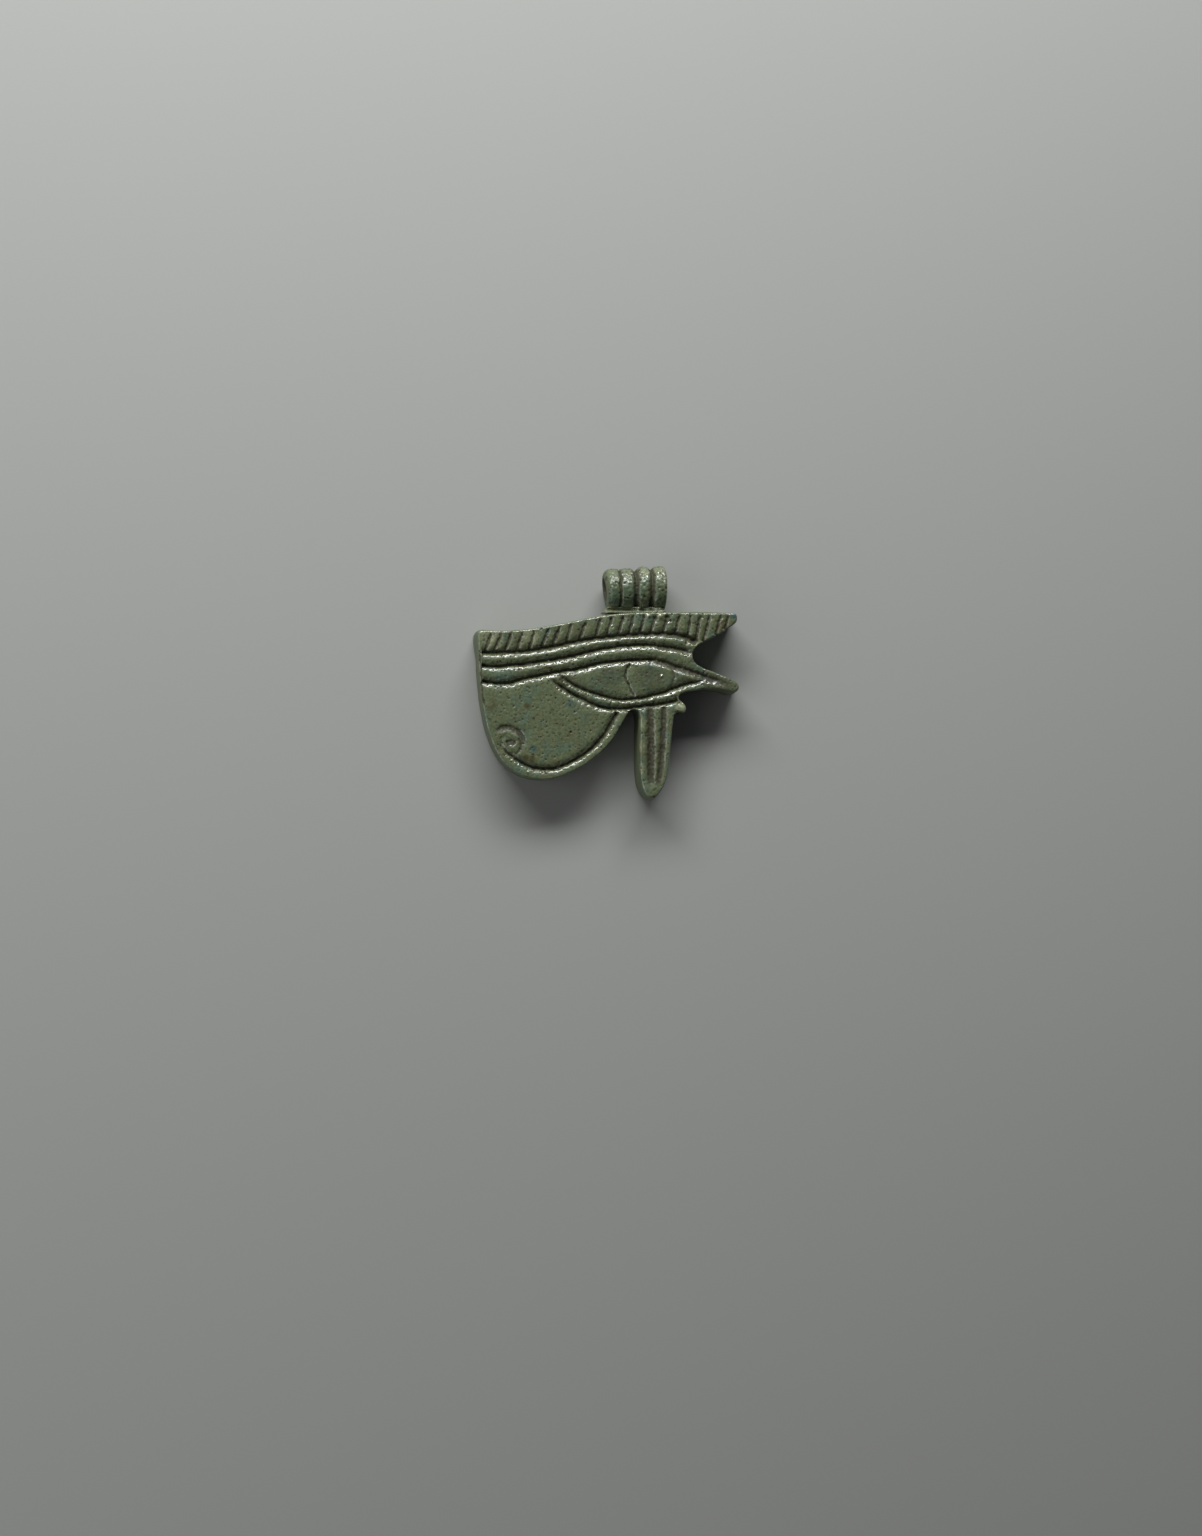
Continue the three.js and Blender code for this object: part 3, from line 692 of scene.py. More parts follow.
def face_sheet(outline):
    """A fine flat sheet in the shape of the plaque, with its rim evenly on the outline."""
    bm = bmesh.new()
    for kind, name in (*HELPER_LAYERS, ("float", "dirt"), ("float", "dull")):
        getattr(bm.verts.layers, kind).new(name)
    foot_layer = bm.verts.layers.float_vector["foot"]
    out_layer = bm.verts.layers.float_vector["out"]
    low = outline.line.min(0) - CELL
    high = outline.line.max(0) + CELL
    middle = (low + high) / 2
    half = (high - low) / 2
    shape = Matrix.Translation((*middle, FRONT)) @ Matrix.Diagonal((*half, 1, 1))
    across = math.ceil(2 * half[0] / CELL)
    up = math.ceil(2 * half[1] / CELL)
    bmesh.ops.create_grid(bm, x_segments=across, y_segments=up, size=1, matrix=shape)
    centres = np.array([f.calc_center_median()[:2] for f in bm.faces])
    kept = inside(centres, outline.line)
    bmesh.ops.delete(bm, geom=[f for f, keep in zip(bm.faces, kept) if not keep], context="FACES")
    drop_pinches(bm)
    keep_largest(bm)
    loop = rim_loop(bm)
    spots = np.array([v.co[:2] for v in loop])
    _, runs, length = nearest_on(spots, outline.line)
    steps = np.diff(np.concatenate([runs, runs[:1]]))
    steps = (steps + length / 2) % length - length / 2
    turns = 1 if steps.sum() > 0 else -1
    unrolled = runs[0] + np.concatenate([[0], np.cumsum(steps[:-1])])
    for _ in range(RIM_EVENING):
        before = np.concatenate([[unrolled[-1] - turns * length], unrolled[:-1]])
        after = np.concatenate([unrolled[1:], [unrolled[0] + turns * length]])
        unrolled = (before + after) / 4 + unrolled / 2
    spot, out = outline.at(unrolled)
    for vert, at, away in zip(loop, spot, out):
        vert[foot_layer] = (*at, 0)
        vert[out_layer] = (*away, 0)
        vert.co.xy = at - away * RIM_INSET
    ring = set(loop)
    near = ring
    for _ in range(SMOOTHED_RINGS):
        near = near | {e.other_vert(v) for v in near for e in v.link_edges}
    for _ in range(SMOOTHING_ROUNDS):
        bmesh.ops.smooth_vert(bm, verts=list(near - ring), factor=SMOOTHING_SHARE, use_axis_x=True,
                              use_axis_y=True)
    return bm


def flank_profile():
    """How far out the flank stands and how high, from the front's rim down to the back."""
    shoulder_top = FRONT - FACE_DROP - EDGE_ROLL_DROP
    rows = []
    start = math.asin(1 - RIM_INSET / SHOULDER_RADIUS)
    for row in range(1, SHOULDER_ROWS + 1):
        turn = start + (math.pi / 2 - start) * row / SHOULDER_ROWS
        rows.append((SHOULDER_RADIUS * (math.sin(turn) - 1),
                     shoulder_top - SHOULDER_RADIUS * (1 - math.cos(turn))))
    top = rows[-1][1]
    for row in range(1, FLANK_ROWS + 1):
        turn = math.pi / 2 * row / FLANK_ROWS
        rows.append((MOULD_DRAFT * math.sin(turn), SKIRT_HEIGHT + (top - SKIRT_HEIGHT) * math.cos(turn)))
    rows.append((MOULD_DRAFT, FOOT_ROUND))
    rows.append((MOULD_DRAFT - FOOT_ROUND * FOOT_BEVEL, FOOT_ROUND * FOOT_BEVEL))
    rows.append((MOULD_DRAFT - FOOT_ROUND, 0.0))
    return rows


def drafted_at(foot):
    """How much of the mould's draft the flank has there."""
    spot = np.array([foot[:2]])
    return max(DRAFT_LEFT, *(float(dimple(spot, *where)[0]) for where in DRAFTED_PLACES))


def add_flank(bm):
    """Draws the rim down round the shoulder and the flank to the back, which are duller than the front."""
    foot_layer = bm.verts.layers.float_vector["foot"]
    out_layer = bm.verts.layers.float_vector["out"]
    dirt_layer = bm.verts.layers.float["dirt"]
    dull_layer = bm.verts.layers.float["dull"]
    rim = [e for e in bm.edges if e.is_boundary]
    rim_height = FRONT - FACE_DROP - EDGE_ROLL_DROP - SHOULDER_RADIUS * (
        1 - math.sqrt(1 - (1 - RIM_INSET / SHOULDER_RADIUS) ** 2))
    sunk_layer = bm.verts.layers.float["sunk"]
    for vert in {v for e in rim for v in e.verts}:
        vert[sunk_layer] = vert.co.z - rim_height
    rows = flank_profile()
    for row, (stand, height) in enumerate(rows):
        made = bmesh.ops.extrude_edge_only(bm, edges=rim)["geom"]
        verts = [g for g in made if isinstance(g, bmesh.types.BMVert)]
        rim = [g for g in made if isinstance(g, bmesh.types.BMEdge) and g.is_boundary]
        fade = max(0.0, 1 - row / (SHOULDER_ROWS + FLANK_ROWS * RIM_FADE)) ** 2
        uneven = FLANK_UNEVEN * (1 - max(0.0, stand) / MOULD_DRAFT) if row >= SHOULDER_ROWS else 0.0
        for vert in verts:
            foot = vert[foot_layer]
            spot = foot + Vector((0, 0, height))
            bulge = uneven * noise.noise(spot / FLANK_UNEVEN_SIZE)
            draft = stand * drafted_at(foot) if stand > 0 else stand
            vert.co = foot + vert[out_layer] * (draft + bulge)
            vert.co.z = height + vert[sunk_layer] * fade
            vert[dirt_layer] *= FLANK_DIRT_LEFT
            vert[dull_layer] = min(1.0, row / (SHOULDER_ROWS + 1))
    return rim


def add_back(bm, rim, outline):
    """Closes the back and cuts it into cells, which lie in a slight uneven hollow."""
    rim_verts = {v for e in rim for v in e.verts}
    back = bmesh.ops.edgeloop_fill(bm, edges=rim)["faces"]
    geom = list(dict.fromkeys(g for f in back for g in (f, *f.edges, *f.verts)))
    for axis, direction in enumerate((Vector((1, 0, 0)), Vector((0, 1, 0)))):
        for cut in np.arange(PLAQUE_LOW[axis] + BACK_CELL, PLAQUE_HIGH[axis], BACK_CELL):
            geom = bmesh.ops.bisect_plane(bm, geom=geom, dist=CUT_GAP, plane_co=direction * cut,
                                          plane_no=direction)["geom"]
    inner = [g for g in geom if isinstance(g, bmesh.types.BMVert) and g not in rim_verts]
    spots = np.array([v.co[:2] for v in inner])
    gap, _, _ = nearest_on(spots, outline.line)
    hollow = BACK_HOLLOW * (BACK_HOLLOW_EVEN + BACK_HOLLOW_UNEVEN * noise_at(flat(spots), "back"))
    dull_layer = bm.verts.layers.float["dull"]
    for vert, rise in zip(inner, hollow * smooth(np.abs(gap) / BACK_FLAT_EDGE)):
        vert.co.z += rise
        vert[dull_layer] = 1.0


def put(name, data):
    """Places an object with that data in the scene."""
    made = bpy.data.objects.new(name, data)
    bpy.context.scene.collection.objects.link(made)
    return made


def meshed(name, bm):
    """Turns the drawn shape into an object with a mesh."""
    mesh = bpy.data.meshes.new(name)
    bm.to_mesh(mesh)
    bm.free()
    return put(name, mesh)


def piece(name, bm, slot_name, node, **marks):
    """Makes the shape an object that stands for its CAD node, and marks its vertices."""
    bmesh.ops.recalc_face_normals(bm, faces=bm.faces)
    made = meshed(name, bm)
    made.data.shade_smooth()
    for mark, values in marks.items():
        store(made.data, mark, values)
    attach(made, "root")
    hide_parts(node)
    return made


def make_plaque():
    """The plaque: the carved front, the flank and the back."""
    outline = Outline()
    bm = face_sheet(outline)
    points = np.array([v.co[:2] for v in bm.verts])
    edge_gap, _, _ = nearest_on(points, outline.line)
    heights, dirt = relief(points, np.abs(edge_gap))
    dirt_layer = bm.verts.layers.float["dirt"]
    for vert, height, soil in zip(bm.verts, heights, dirt):
        vert.co.z = height
        vert[dirt_layer] = soil
    rim = add_flank(bm)
    bm.normal_update()
    add_back(bm, rim, outline)
    for kind, name in HELPER_LAYERS:
        layers = getattr(bm.verts.layers, kind)
        layers.remove(layers[name])
    return piece("moulded_eye_plaque", bm, "plaque_glaze", "eye_plaque")


def tube_radius_at(x):
    """The tube's outer radius along its length: four ribs, with the left end rounded more than the right."""
    radius = np.full(len(x), TUBE_RADIUS)
    for low, high in zip(RIB_EDGES, RIB_EDGES[1:]):
        across = (2 * x - low - high) / (high - low)
        rib = (x >= low) & (x <= high)
        radius[rib] -= RIB_CROWN_DROP * np.abs(across[rib]) ** RIB_CROWN_POWER
    for share, half, depth in RIB_GROOVES:
        radius -= depth * bell((x - share * TUBE_LENGTH) / half, RIB_GROOVE_FALL)
    for end, rounding in ((x, TUBE_LEFT_ROUND), (TUBE_LENGTH - x, TUBE_RIGHT_ROUND)):
        left = np.clip(1 - end / rounding, 0, 1)
        radius -= rounding * (1 - np.sqrt(1 - left ** 2)) * TUBE_ROUND_DEPTH
    return radius


def tube_pits_at(co):
    """How deep the pits in the tube are at each place."""
    rng = np.random.default_rng(PIT_SEED)
    pits = np.zeros(len(co))
    for _ in range(TUBE_PITS):
        turn = rng.uniform(0, math.tau)
        spot = np.array((TUBE_LOW.x + rng.uniform(0, TUBE_LENGTH),
                         TUBE_AXIS.y + TUBE_RADIUS * math.cos(turn),
                         TUBE_AXIS.z + TUBE_RADIUS * math.sin(turn)))
        depth, radius = rng.uniform(*TUBE_PIT_DEPTH), rng.uniform(*TUBE_PIT_RADIUS)
        away = np.linalg.norm(co - spot, axis=1)
        pits = np.maximum(pits, depth * bell(away / radius, DIMPLE_FALL))
    return pits


def tube_shape():
    """A profile along the tube, out and back through the bore, spun round its axis."""
    bm = bmesh.new()
    outer = [(along, TUBE_RADIUS) for along in np.linspace(0, TUBE_LENGTH, TUBE_STEPS)]
    bore = [(TUBE_LENGTH * (1 - share), BORE_RADIUS + BORE_FLARE * abs(2 * share - 1) ** BORE_FLARE_POWER)
            for share in np.linspace(0, 1, BORE_STEPS)]
    end_steps = np.linspace(0, 1, END_STEPS + 2)[1:-1]
    right_end = [(TUBE_LENGTH, TUBE_RADIUS + (bore[0][1] - TUBE_RADIUS) * share) for share in end_steps]
    left_end = [(0.0, bore[-1][1] + (TUBE_RADIUS - bore[-1][1]) * share) for share in end_steps]
    verts = [bm.verts.new((TUBE_LOW.x + along, TUBE_AXIS.y, TUBE_AXIS.z + radius))
             for along, radius in (*outer, *right_end, *bore, *left_end)]
    edges = [bm.edges.new(pair) for pair in zip(verts, verts[1:] + verts[:1])]
    bmesh.ops.spin(bm, geom=[*verts, *edges], cent=TUBE_AXIS, axis=(1, 0, 0), angle=math.tau,
                   steps=TUBE_SIDES, use_merge=True, use_duplicate=False)
    bmesh.ops.remove_doubles(bm, verts=bm.verts, dist=WELD_GAP)
    return bm


def make_tube():
    """The spun tube, worn and ribbed."""
    bm = tube_shape()
    co = np.array([v.co for v in bm.verts])
    radial = co - np.array(TUBE_AXIS)
    radial[:, 0] = 0
    reach = np.linalg.norm(radial, axis=1)
    outside = smooth((reach - BORE_RADIUS) / (TUBE_RADIUS - BORE_RADIUS))
    along = co[:, 0] - TUBE_LOW.x
    ends = np.minimum(along, TUBE_LENGTH - along)
    wander = TUBE_WANDER * noise_at(co, "wander") * np.clip(ends / TUBE_LEFT_ROUND, 0, 1)
    uneven = noise_at(co, "tube") * TUBE_UNEVEN_SHARE + noise_at(co, "fine tube") * TUBE_FINE_SHARE
    pits = tube_pits_at(co)
    away = (1 + radial[:, 1] / reach) / 2
    sunk = np.interp(along, RIB_MIDDLES, RIB_WORN) * away
    sunk += TUBE_WEAR * (1 - uneven) * (TUBE_WEAR_NEAR + TUBE_WEAR_FAR * away)
    sunk += TUBE_RADIUS - tube_radius_at(along + wander) + pits
    moved = co - radial / reach[:, None] * (sunk * outside)[:, None]
    moved[:, 0] += TUBE_LEFT_SLANT * (1 - away) * np.clip(1 - along / TUBE_SLANT_REACH, 0, 1)
    for vert, to in zip(bm.verts, moved):
        vert.co = to
    soil = np.clip(pits / PIT_SOIL_DEPTH, 0, 1) * TUBE_PIT_SOIL
    for share, half, _ in RIB_GROOVES:
        soil = np.maximum(soil, smooth(1 - np.abs(along + wander - share * TUBE_LENGTH) / half))
    return piece("ribbed_suspension_tube", bm, "tube_glaze", "suspension_tube",
                 # The bore's inside is painted dark with the dirt's colour: painted shade.
                 dirt=np.where(outside > 0.5, soil, BORE_PAINTED_SHADE),
                 dull=np.maximum(smooth(1 - ends / TUBE_DULL_END), 1 - smooth(outside * 2)),
                 # The right end's rim is painted lighter: a painted highlight.
                 pale=smooth(1 - (TUBE_LENGTH - along) / TUBE_RIM_HIGHLIGHT_WIDTH))


def slip_height(x, y):
    """How far the slip stands from the tube's middle plane: a hollow fillet with lumps at its right foot."""
    tube = np.sqrt(np.clip(TUBE_RADIUS ** 2 - (TUBE_AXIS.y - y) ** 2, 0, None))
    share = (y - SLIP_LOW.y) / (SLIP_HIGH.y - SLIP_LOW.y)
    fillet = SLIP_FOOT * (1 - share) ** 2 + SLIP_SHOULDER * share ** 2
    fillet += SLIP_HOLLOW * 2 * share * (1 - share)
    height = np.maximum(fillet, np.minimum(tube + SLIP_FILM, SLIP_SHOULDER))
    for lump_x, lump_y, reach, rise in np.array(SLIP_LUMPS) * MM:
        away = np.hypot(x - TUBE_LOW.x - lump_x, y - SLIP_LOW.y - lump_y)
        height += rise * bell(away / reach)
    return np.minimum(height, SLIP_HIGH.z - TUBE_AXIS.z)


def make_slip():
    """Two fine sheets along the fillet between the brow and the tube, front and back, joined at their rim."""
    bm = bmesh.new()
    size = SLIP_HIGH - SLIP_LOW
    middle = (SLIP_LOW + SLIP_HIGH) / 2
    shape = Matrix.Translation((middle.x, middle.y, 0)) @ Matrix.Diagonal((size.x / 2, size.y / 2, 1, 1))
    bmesh.ops.create_grid(bm, x_segments=round(size.x / SLIP_CELL), y_segments=round(size.y / SLIP_CELL),
                          size=1, matrix=shape)
    co = np.array([v.co for v in bm.verts])
    co[:, 0] = np.maximum(co[:, 0], TUBE_LOW.x + SLIP_LEFT_SHARE * (co[:, 0] - TUBE_LOW.x))
    left = TUBE_LOW.x + SLIP_LEFT_SHARE * (SLIP_LOW.x - TUBE_LOW.x)
    past_left = np.clip((TUBE_LOW.x + SLIP_TURN - co[:, 0]) / (TUBE_LOW.x + SLIP_TURN - left), 0, 1)
    past_right = np.clip((co[:, 0] - TUBE_HIGH.x + SLIP_TURN) / (SLIP_HIGH.x - TUBE_HIGH.x + SLIP_TURN),
                         0, 1)
    narrow = (1 - past_left) ** SLIP_TAPER * (1 - past_right) ** SLIP_TAPER
    co[:, 1] = SLIP_LOW.y + (co[:, 1] - SLIP_LOW.y) * (SLIP_TIP + (1 - SLIP_TIP) * narrow)
    height = slip_height(co[:, 0], co[:, 1])
    for past in (past_left, past_right):
        height *= np.sqrt(1 - (SLIP_NARROW * past) ** 2)
    height += SLIP_ROUGHNESS * noise_at(co, "slip")
    for vert, to, rise in zip(bm.verts, co, height):
        vert.co = (to[0], to[1], TUBE_AXIS.z + rise)
    rim = [e for e in bm.edges if e.is_boundary]
    made = bmesh.ops.duplicate(bm, geom=[*bm.verts, *bm.edges, *bm.faces])
    for vert in (g for g in made["geom"] if isinstance(g, bmesh.types.BMVert)):
        vert.co.z = 2 * TUBE_AXIS.z - vert.co.z
    bmesh.ops.bridge_loops(bm, edges=[*rim, *(made["edge_map"][e] for e in rim)])
    return piece("luting_slip_fillet", bm, "slip_glaze", "luting_slip",
                 dirt=np.full(len(bm.verts), SLIP_DIRT))


def read(rows, name, width, kind=float):
    """What a mesh's vertices, normals or edges hold under that name, a row for each."""
    values = np.empty(len(rows) * width, kind)
    rows.foreach_get(name, values)
    return values.reshape(-1, width)


def neighbour_mean(values, edges):
    """Each vertex's mean of what its neighbours hold."""
    total = np.zeros_like(values)
    np.add.at(total, edges[:, 0], values[edges[:, 1]])
    np.add.at(total, edges[:, 1], values[edges[:, 0]])
    degree = np.bincount(edges.ravel(), minlength=len(values)).astype(float)
    return total / np.maximum(degree, 1).reshape((-1,) + (1,) * (values.ndim - 1))


def stored(mesh, name):
    """What the mesh already holds under that name, or nothing."""
    values = np.zeros(len(mesh.vertices), np.float32)
    if name in mesh.attributes:
        mesh.attributes[name].data.foreach_get("value", values)
    return values


def store(mesh, name, values):
    """Marks the mesh's vertices with values under that name."""
    layer = mesh.attributes.get(name) or mesh.attributes.new(name, "FLOAT", "POINT")
    layer.data.foreach_set("value", values.astype(np.float32))


def weather(made):
    """Finds where the piece's surface stands proud, which is painted lighter as wear and as a painted
    highlight, and where the stains, the lighter spots and the patches of painted shade lie.
    """
    mesh = made.data
    co = read(mesh.vertices, "co", 3)
    normals = read(mesh.vertex_normals, "vector", 3)
    edges = read(mesh.edges, "vertices", 2, int)
    mean = neighbour_mean(co, edges)
    spans = np.linalg.norm(co[edges[:, 0]] - co[edges[:, 1]], axis=1)
    reach = np.zeros(len(co))
    np.add.at(reach, edges[:, 0], spans)
    np.add.at(reach, edges[:, 1], spans)
    reach /= np.maximum(np.bincount(edges.ravel(), minlength=len(co)), 1)
    bulge = ((co - mean) * normals).sum(1) / np.maximum(reach, LEAST_REACH)
    for _ in range(WEAR_AND_HIGHLIGHT_ROUNDS):
        bulge = (bulge + neighbour_mean(bulge, edges)) / 2
    # Proud edges are painted lighter: partly rubbed glaze, partly a painted highlight.
    store(mesh, "wear_and_highlight", np.clip(bulge * WEAR_AND_HIGHLIGHT_GAIN, 0, 1))
    for name, stains_and_light_spots in STAINS_AND_PAINTED_LIGHT.items():
        mask = stored(mesh, name)
        for x, y, radius, strength in stains_and_light_spots:
            gap = np.linalg.norm(co - np.array((*spot_at(x, y), FRONT)), axis=1)
            mask = np.maximum(mask, strength * bell(gap / (radius * MM)))
        store(mesh, name, mask)


def new_group(name, outputs, **inputs):
    """An empty shader group with those sockets, its wiring, what comes into it and what goes out of it."""
    group = bpy.data.node_groups.new(name, "ShaderNodeTree")
    for way, sockets in (("INPUT", inputs), ("OUTPUT", outputs)):
        for label, kind in sockets.items():
            group.interface.new_socket(label, in_out=way, socket_type="NodeSocket" + kind)
    source, sink = group.nodes.new("NodeGroupInput"), group.nodes.new("NodeGroupOutput")
    return group, Wiring(group), source.outputs, sink.inputs


class Wiring:
    """Short ways to add and join nodes in one tree."""

    def __init__(self, tree):
        self.tree = tree

    def feed(self, socket, value):
        if isinstance(value, bpy.types.NodeSocket):
            self.tree.links.new(value, socket)
        else:
            socket.default_value = value

    def node(self, kind, feeds=(), **settings):
        """A new node, with what goes into its sockets by their names or numbers."""
        made = self.tree.nodes.new("ShaderNode" + kind)
        for name, value in settings.items():
            setattr(made, name, value)
        for socket, value in dict(feeds).items():
            self.feed(made.inputs[socket], value)
        return made

    def noise(self, where, scale, detail, distortion=0.0):
        feeds = {"Vector": where, "Scale": scale, "Detail": detail, "Distortion": distortion}
        return self.node("TexNoise", feeds).outputs["Fac"]

    def math(self, operation, *values):
        return self.node("Math", enumerate(values), operation=operation).outputs["Value"]

    def between(self, value, low, high, to_low=0.0, to_high=1.0):
        feeds = {"Value": value, "From Min": low, "From Max": high, "To Min": to_low, "To Max": to_high}
        return self.node("MapRange", feeds, interpolation_type="SMOOTHSTEP").outputs["Result"]

    def mix(self, factor, first, second, blend="MIX"):
        feeds = {0: factor, 6: first, 7: second}
        return self.node("Mix", feeds, data_type="RGBA", blend_type=blend).outputs[2]

    def group(self, group, **feeds):
        return self.node("Group", feeds, node_tree=group).outputs

    def attribute(self, name):
        return self.node("Attribute", attribute_name=name).outputs["Fac"]


def glaze_clouds_group():
    """The glaze's own colour: cool and warm clouds in the main green, and a fine grain of light and dark."""
    group, w, source, sink = new_group("glaze clouds", {"Color": "Color"}, Place="Vector", Main="Color",
                                       Cool="Color", Warm="Color")
    colour = source["Main"]
    for label, (size, distortion, *span) in CLOUDS.items():
        cloud = w.between(w.noise(source["Place"], 1 / size, SOFT_DETAIL, distortion), *span)
        colour = w.mix(cloud, colour, source[label])
    grain = w.noise(source["Place"], 1 / GLAZE_GRAIN_SIZE, FINE_DETAIL)
    grain = w.between(grain, *GLAZE_GRAIN_NOISE, *GLAZE_GRAIN_RANGE)
    shade = w.node("CombineColor", enumerate([grain] * 3)).outputs["Color"]
    w.feed(sink["Color"], w.mix(1.0, colour, shade, "MULTIPLY"))
    return group


def pinholes_group():
    """Scattered ragged spots of uneven size and depth, as the mask of the specks."""
    group, w, source, sink = new_group("pinholes", {"Mask": "Float"}, Place="Vector", Spacing="Float",
                                       Size="Float", Share="Float", Bend="Float")
    where, bend = source["Place"], source["Bend"]
    ragged = w.node("TexNoise", {"Vector": where, "Scale": w.math("DIVIDE", 1.0, bend)}).outputs["Color"]
    ragged = w.node("VectorMath", {"Vector": ragged, "Scale": bend}, operation="SCALE").outputs["Vector"]
    bent = w.node("VectorMath", {0: where, 1: ragged}, operation="ADD").outputs["Vector"]
    scale = w.math("DIVIDE", 1.0, source["Spacing"])
    cells = w.node("TexVoronoi", {"Vector": bent, "Scale": scale}).outputs
    chance = w.node("SeparateColor", {"Color": cells["Color"]}).outputs
    size = w.math("MULTIPLY", source["Size"], w.between(chance["Green"], 0.0, 1.0, SPECK_LEAST_SIZE, 1.0))
    spot = w.between(cells["Distance"], w.math("MULTIPLY", size, SPECK_CORE), size, 1.0, 0.0)
    kept = w.math("LESS_THAN", chance["Red"], source["Share"])
    depth = w.between(chance["Blue"], 0.0, 1.0, SPECK_LEAST_DEPTH, 1.0)
    w.feed(sink["Mask"], w.math("MULTIPLY", w.math("MULTIPLY", spot, kept), depth))
    return group


def broken_mask_group():
    """Breaks the edge of a mask on the surface, as dirt and wear are broken."""
    group, w, source, sink = new_group("broken mask", {"Mask": "Float"}, Place="Vector", Amount="Float",
                                       Size="Float", Low="Float", High="Float")
    rough = w.noise(source["Place"], w.math("DIVIDE", 1.0, source["Size"]), FINE_DETAIL)
    broken = w.math("MULTIPLY", source["Amount"], w.between(rough, *BREAK_NOISE, *BREAK_RANGE))
    w.feed(sink["Mask"], w.between(broken, source["Low"], source["High"]))
    return group


def new_material(name):
    """A new material, its wiring, and what goes into its shader."""
    material = bpy.data.materials.new(name)
    material.use_nodes = True
    return material, Wiring(material.node_tree), material.node_tree.nodes["Principled BSDF"].inputs


def glazed_faience(name, groups):
    """One of the amulet's glaze finishes."""
    main, cool, dirt_span, coat_roughness, patch_size, patch_span = FINISHES[name]
    clouds, pinholes, broken = groups
    material, w, shader = new_material(name)
    where = w.node("TexCoord").outputs["Object"]

    def painted(colour, amount, size, span, strength, paint):
        """The colour with a paint over it where the amount is high, and the paint's mask."""
        mask = w.group(broken, Place=where, Amount=amount, Size=size, Low=span[0], High=span[1])["Mask"]
        return w.mix(w.math("MULTIPLY", mask, strength), colour, paint), mask

    colour = w.group(clouds, Place=where, Main=main, Cool=cool, Warm=WARM_GREEN)["Color"]
    for mark, paint in STAIN_AND_SHADE_PAINTS.items():
        colour, _ = painted(colour, w.attribute(mark), *paint)
    dull = w.attribute("dull")
    holes = w.group(pinholes, Place=where, Spacing=SPECK_SPACING, Size=SPECK_SIZE, Share=SPECK_SHARE,
                    Bend=SPECK_BEND)["Mask"]
    specks = w.math("MULTIPLY", holes, w.between(dull, 0.0, 1.0, 1.0, DULL_SPECKS))
    colour = w.mix(w.math("MULTIPLY", specks, SPECK_STRENGTH), colour, SPECK)
    # Proud edges and the lighter spots take a light olive: partly rubbed glaze, partly painted highlight and
    # painted light.
    colour, _ = painted(colour, w.math("MAXIMUM", w.attribute("wear_and_highlight"), w.attribute("pale")), *WEAR_AND_HIGHLIGHT_PAINT)
    # Dirt in the grooves and pits; in the tube's bore the same dark colour is painted shade.
    colour, dirt = painted(colour, w.attribute("dirt"), DIRT_BREAKS, dirt_span, *DIRT_AND_BORE_SHADE_PAINT)
    w.feed(shader["Base Color"], colour)
    sheen = w.between(w.noise(where, 1 / SHEEN_SIZE, SOFT_DETAIL), *SHEEN_NOISE, *GLAZE_ROUGHNESS)
    soiled = w.math("MAXIMUM", dirt, specks)
    rough = w.math("MAXIMUM", sheen, w.math("MULTIPLY", soiled, DIRT_ROUGHNESS))
    w.feed(shader["Roughness"], w.math("MAXIMUM", rough, w.math("MULTIPLY", dull, DULL_ROUGHNESS)))
    glossy = w.between(w.noise(where, 1 / patch_size, SOFT_DETAIL), *patch_span, PATCH_GLOSS, GLAZE_COAT)
    bare = w.math("SUBTRACT", 1.0, w.math("MAXIMUM", soiled, dull))
    w.feed(shader["Coat Weight"], w.math("MULTIPLY", glossy, bare))
    w.feed(shader["Coat Roughness"], coat_roughness)
    w.feed(shader["Coat IOR"], COAT_IOR)
    fine = w.noise(where, 1 / BUMP_SIZE, BUMP_DETAIL)
    height = w.math("SUBTRACT", fine, w.math("MULTIPLY", specks, SPECK_HOLLOW))
    feeds = {"Strength": BUMP_STRENGTH, "Distance": BUMP_DEPTH, "Height": height}
    w.feed(shader["Normal"], w.node("Bump", feeds).outputs["Normal"])
    return material


pieces = {"plaque glaze": make_plaque(), "tube glaze": make_tube(), "slip glaze": make_slip()}
groups = (glaze_clouds_group(), pinholes_group(), broken_mask_group())
for name, made in pieces.items():
    weather(made)
    made.data.materials.append(glazed_faience(name, groups))

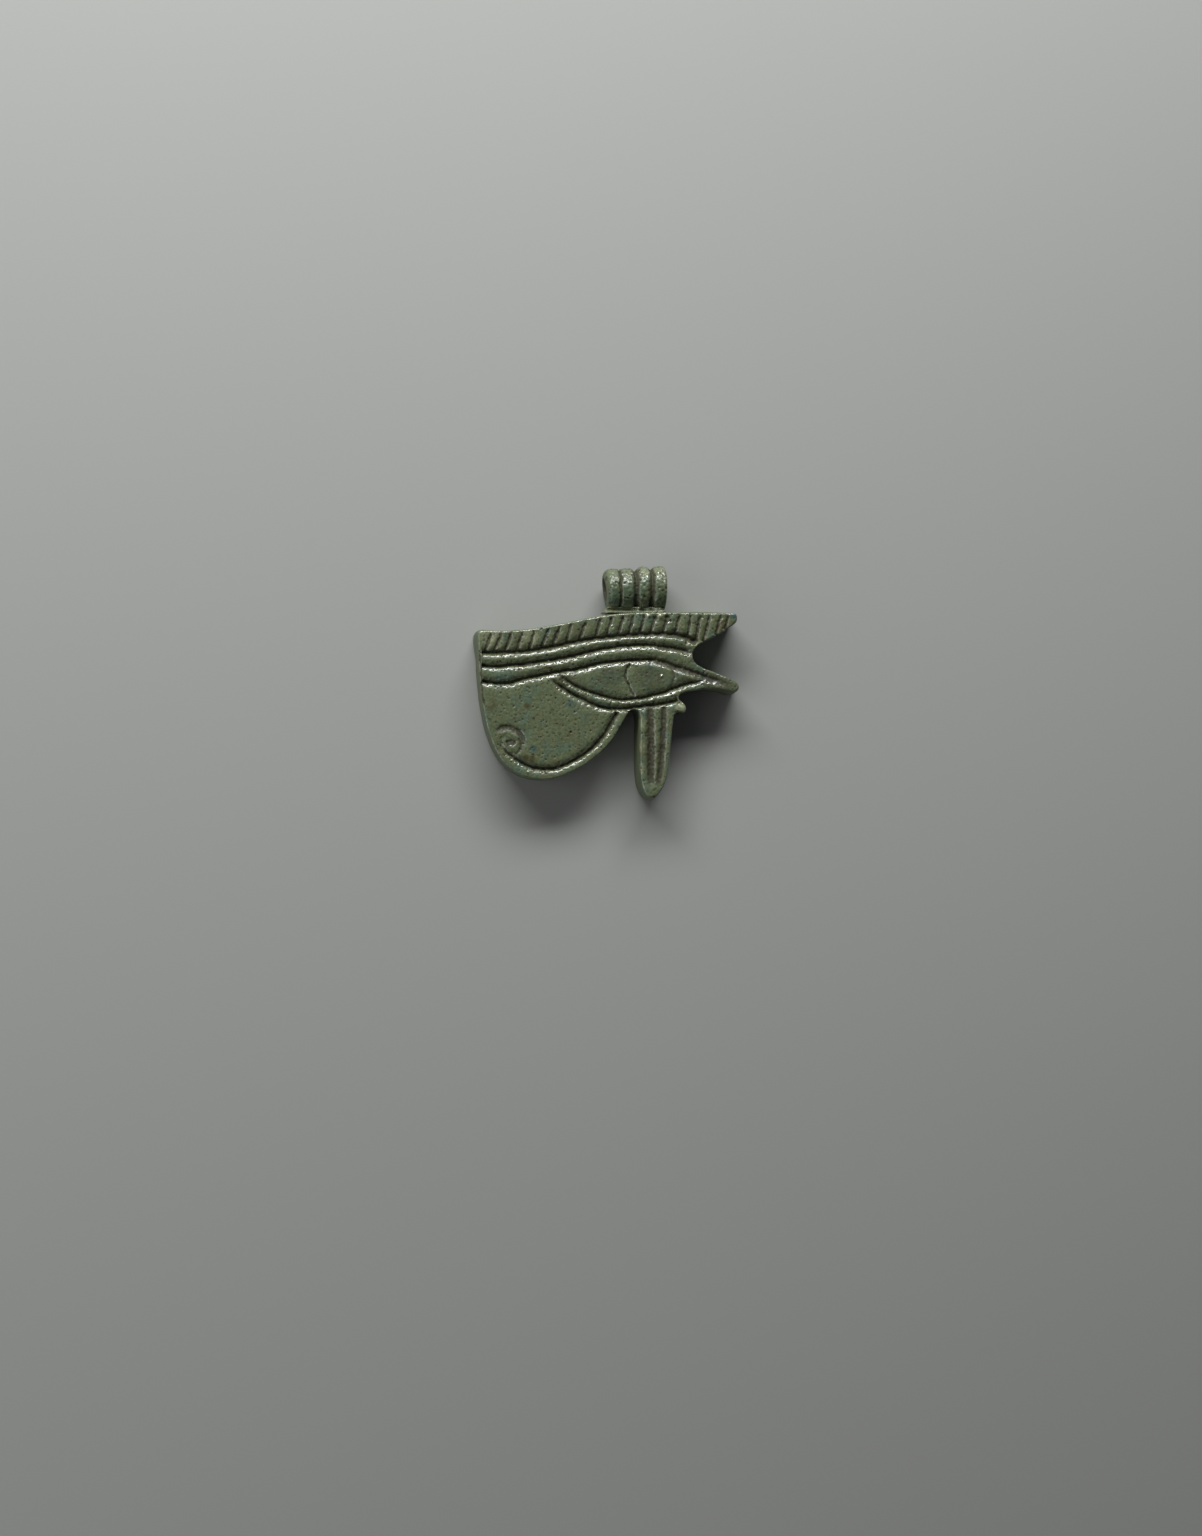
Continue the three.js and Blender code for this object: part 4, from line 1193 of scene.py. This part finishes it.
# The camera at the photograph's angle: straight down, leaning a little to the left.
CAMERA_LEAN = math.radians(7.5)
CAMERA_DISTANCE = 233.58 * MM
CAMERA_AIM = Vector((PLAQUE_CORNER[0] + 14.956 * MM, PLAQUE_CORNER[1] + 3.656 * MM, FRONT))
CAMERA_LENS = 45
CAMERA_SENSOR = 36
CAMERA_NEAR = 10 * MM
camera_data = bpy.data.cameras.new("camera")
camera_data.sensor_fit = "VERTICAL"
camera_data.sensor_height = CAMERA_SENSOR
camera_data.lens = CAMERA_LENS
camera_data.clip_start = CAMERA_NEAR
camera = put("camera", camera_data)
camera.location = CAMERA_AIM + CAMERA_DISTANCE * Vector((-math.sin(CAMERA_LEAN), 0, math.cos(CAMERA_LEAN)))
camera.rotation_euler = (0, -CAMERA_LEAN, 0)
bpy.context.scene.camera = camera

TABLE_HALF_WIDTH = 0.6
TABLE_GREY = srgb(150, 152, 149)
TABLE_ROUGHNESS = 0.8
bm = bmesh.new()
bmesh.ops.create_grid(bm, x_segments=1, y_segments=1, size=TABLE_HALF_WIDTH)
floor = meshed("table", bm)
floor_material, w, shader = new_material("table")
w.feed(shader["Base Color"], TABLE_GREY)
w.feed(shader["Roughness"], TABLE_ROUGHNESS)
floor.data.materials.append(floor_material)

# Soft boxes that look at the amulet: azimuth and elevation in degrees, distance, width, height and watts.
# Azimuth 0 is +Y, and it grows towards +X.
LAMPS = {"window": (-8, 33, 0.35, 0.4, 0.11, 2.1), "left fill": (-108, 28, 0.4, 0.5, 0.3, 0.55)}
for name, (azimuth, elevation, distance, width, height, watts) in LAMPS.items():
    data = bpy.data.lights.new(name, "AREA")
    data.shape = "RECTANGLE"
    data.size = width
    data.size_y = height
    data.energy = watts
    turn, rise = math.radians(azimuth), math.radians(elevation)
    way = Vector((math.sin(turn) * math.cos(rise), math.cos(turn) * math.cos(rise), math.sin(rise)))
    soft_box = put(name, data)
    soft_box.location = way * distance
    soft_box.rotation_euler = way.to_track_quat("Z", "Y").to_euler()

WORLD_GREY = srgb(235, 238, 240)
WORLD_STRENGTH = 0.07
world = bpy.data.worlds.new("studio")
bpy.context.scene.world = world
world.use_nodes = True
world.node_tree.nodes["Background"].inputs["Color"].default_value = WORLD_GREY
world.node_tree.nodes["Background"].inputs["Strength"].default_value = WORLD_STRENGTH

bpy.context.scene.view_settings.view_transform = "Standard"
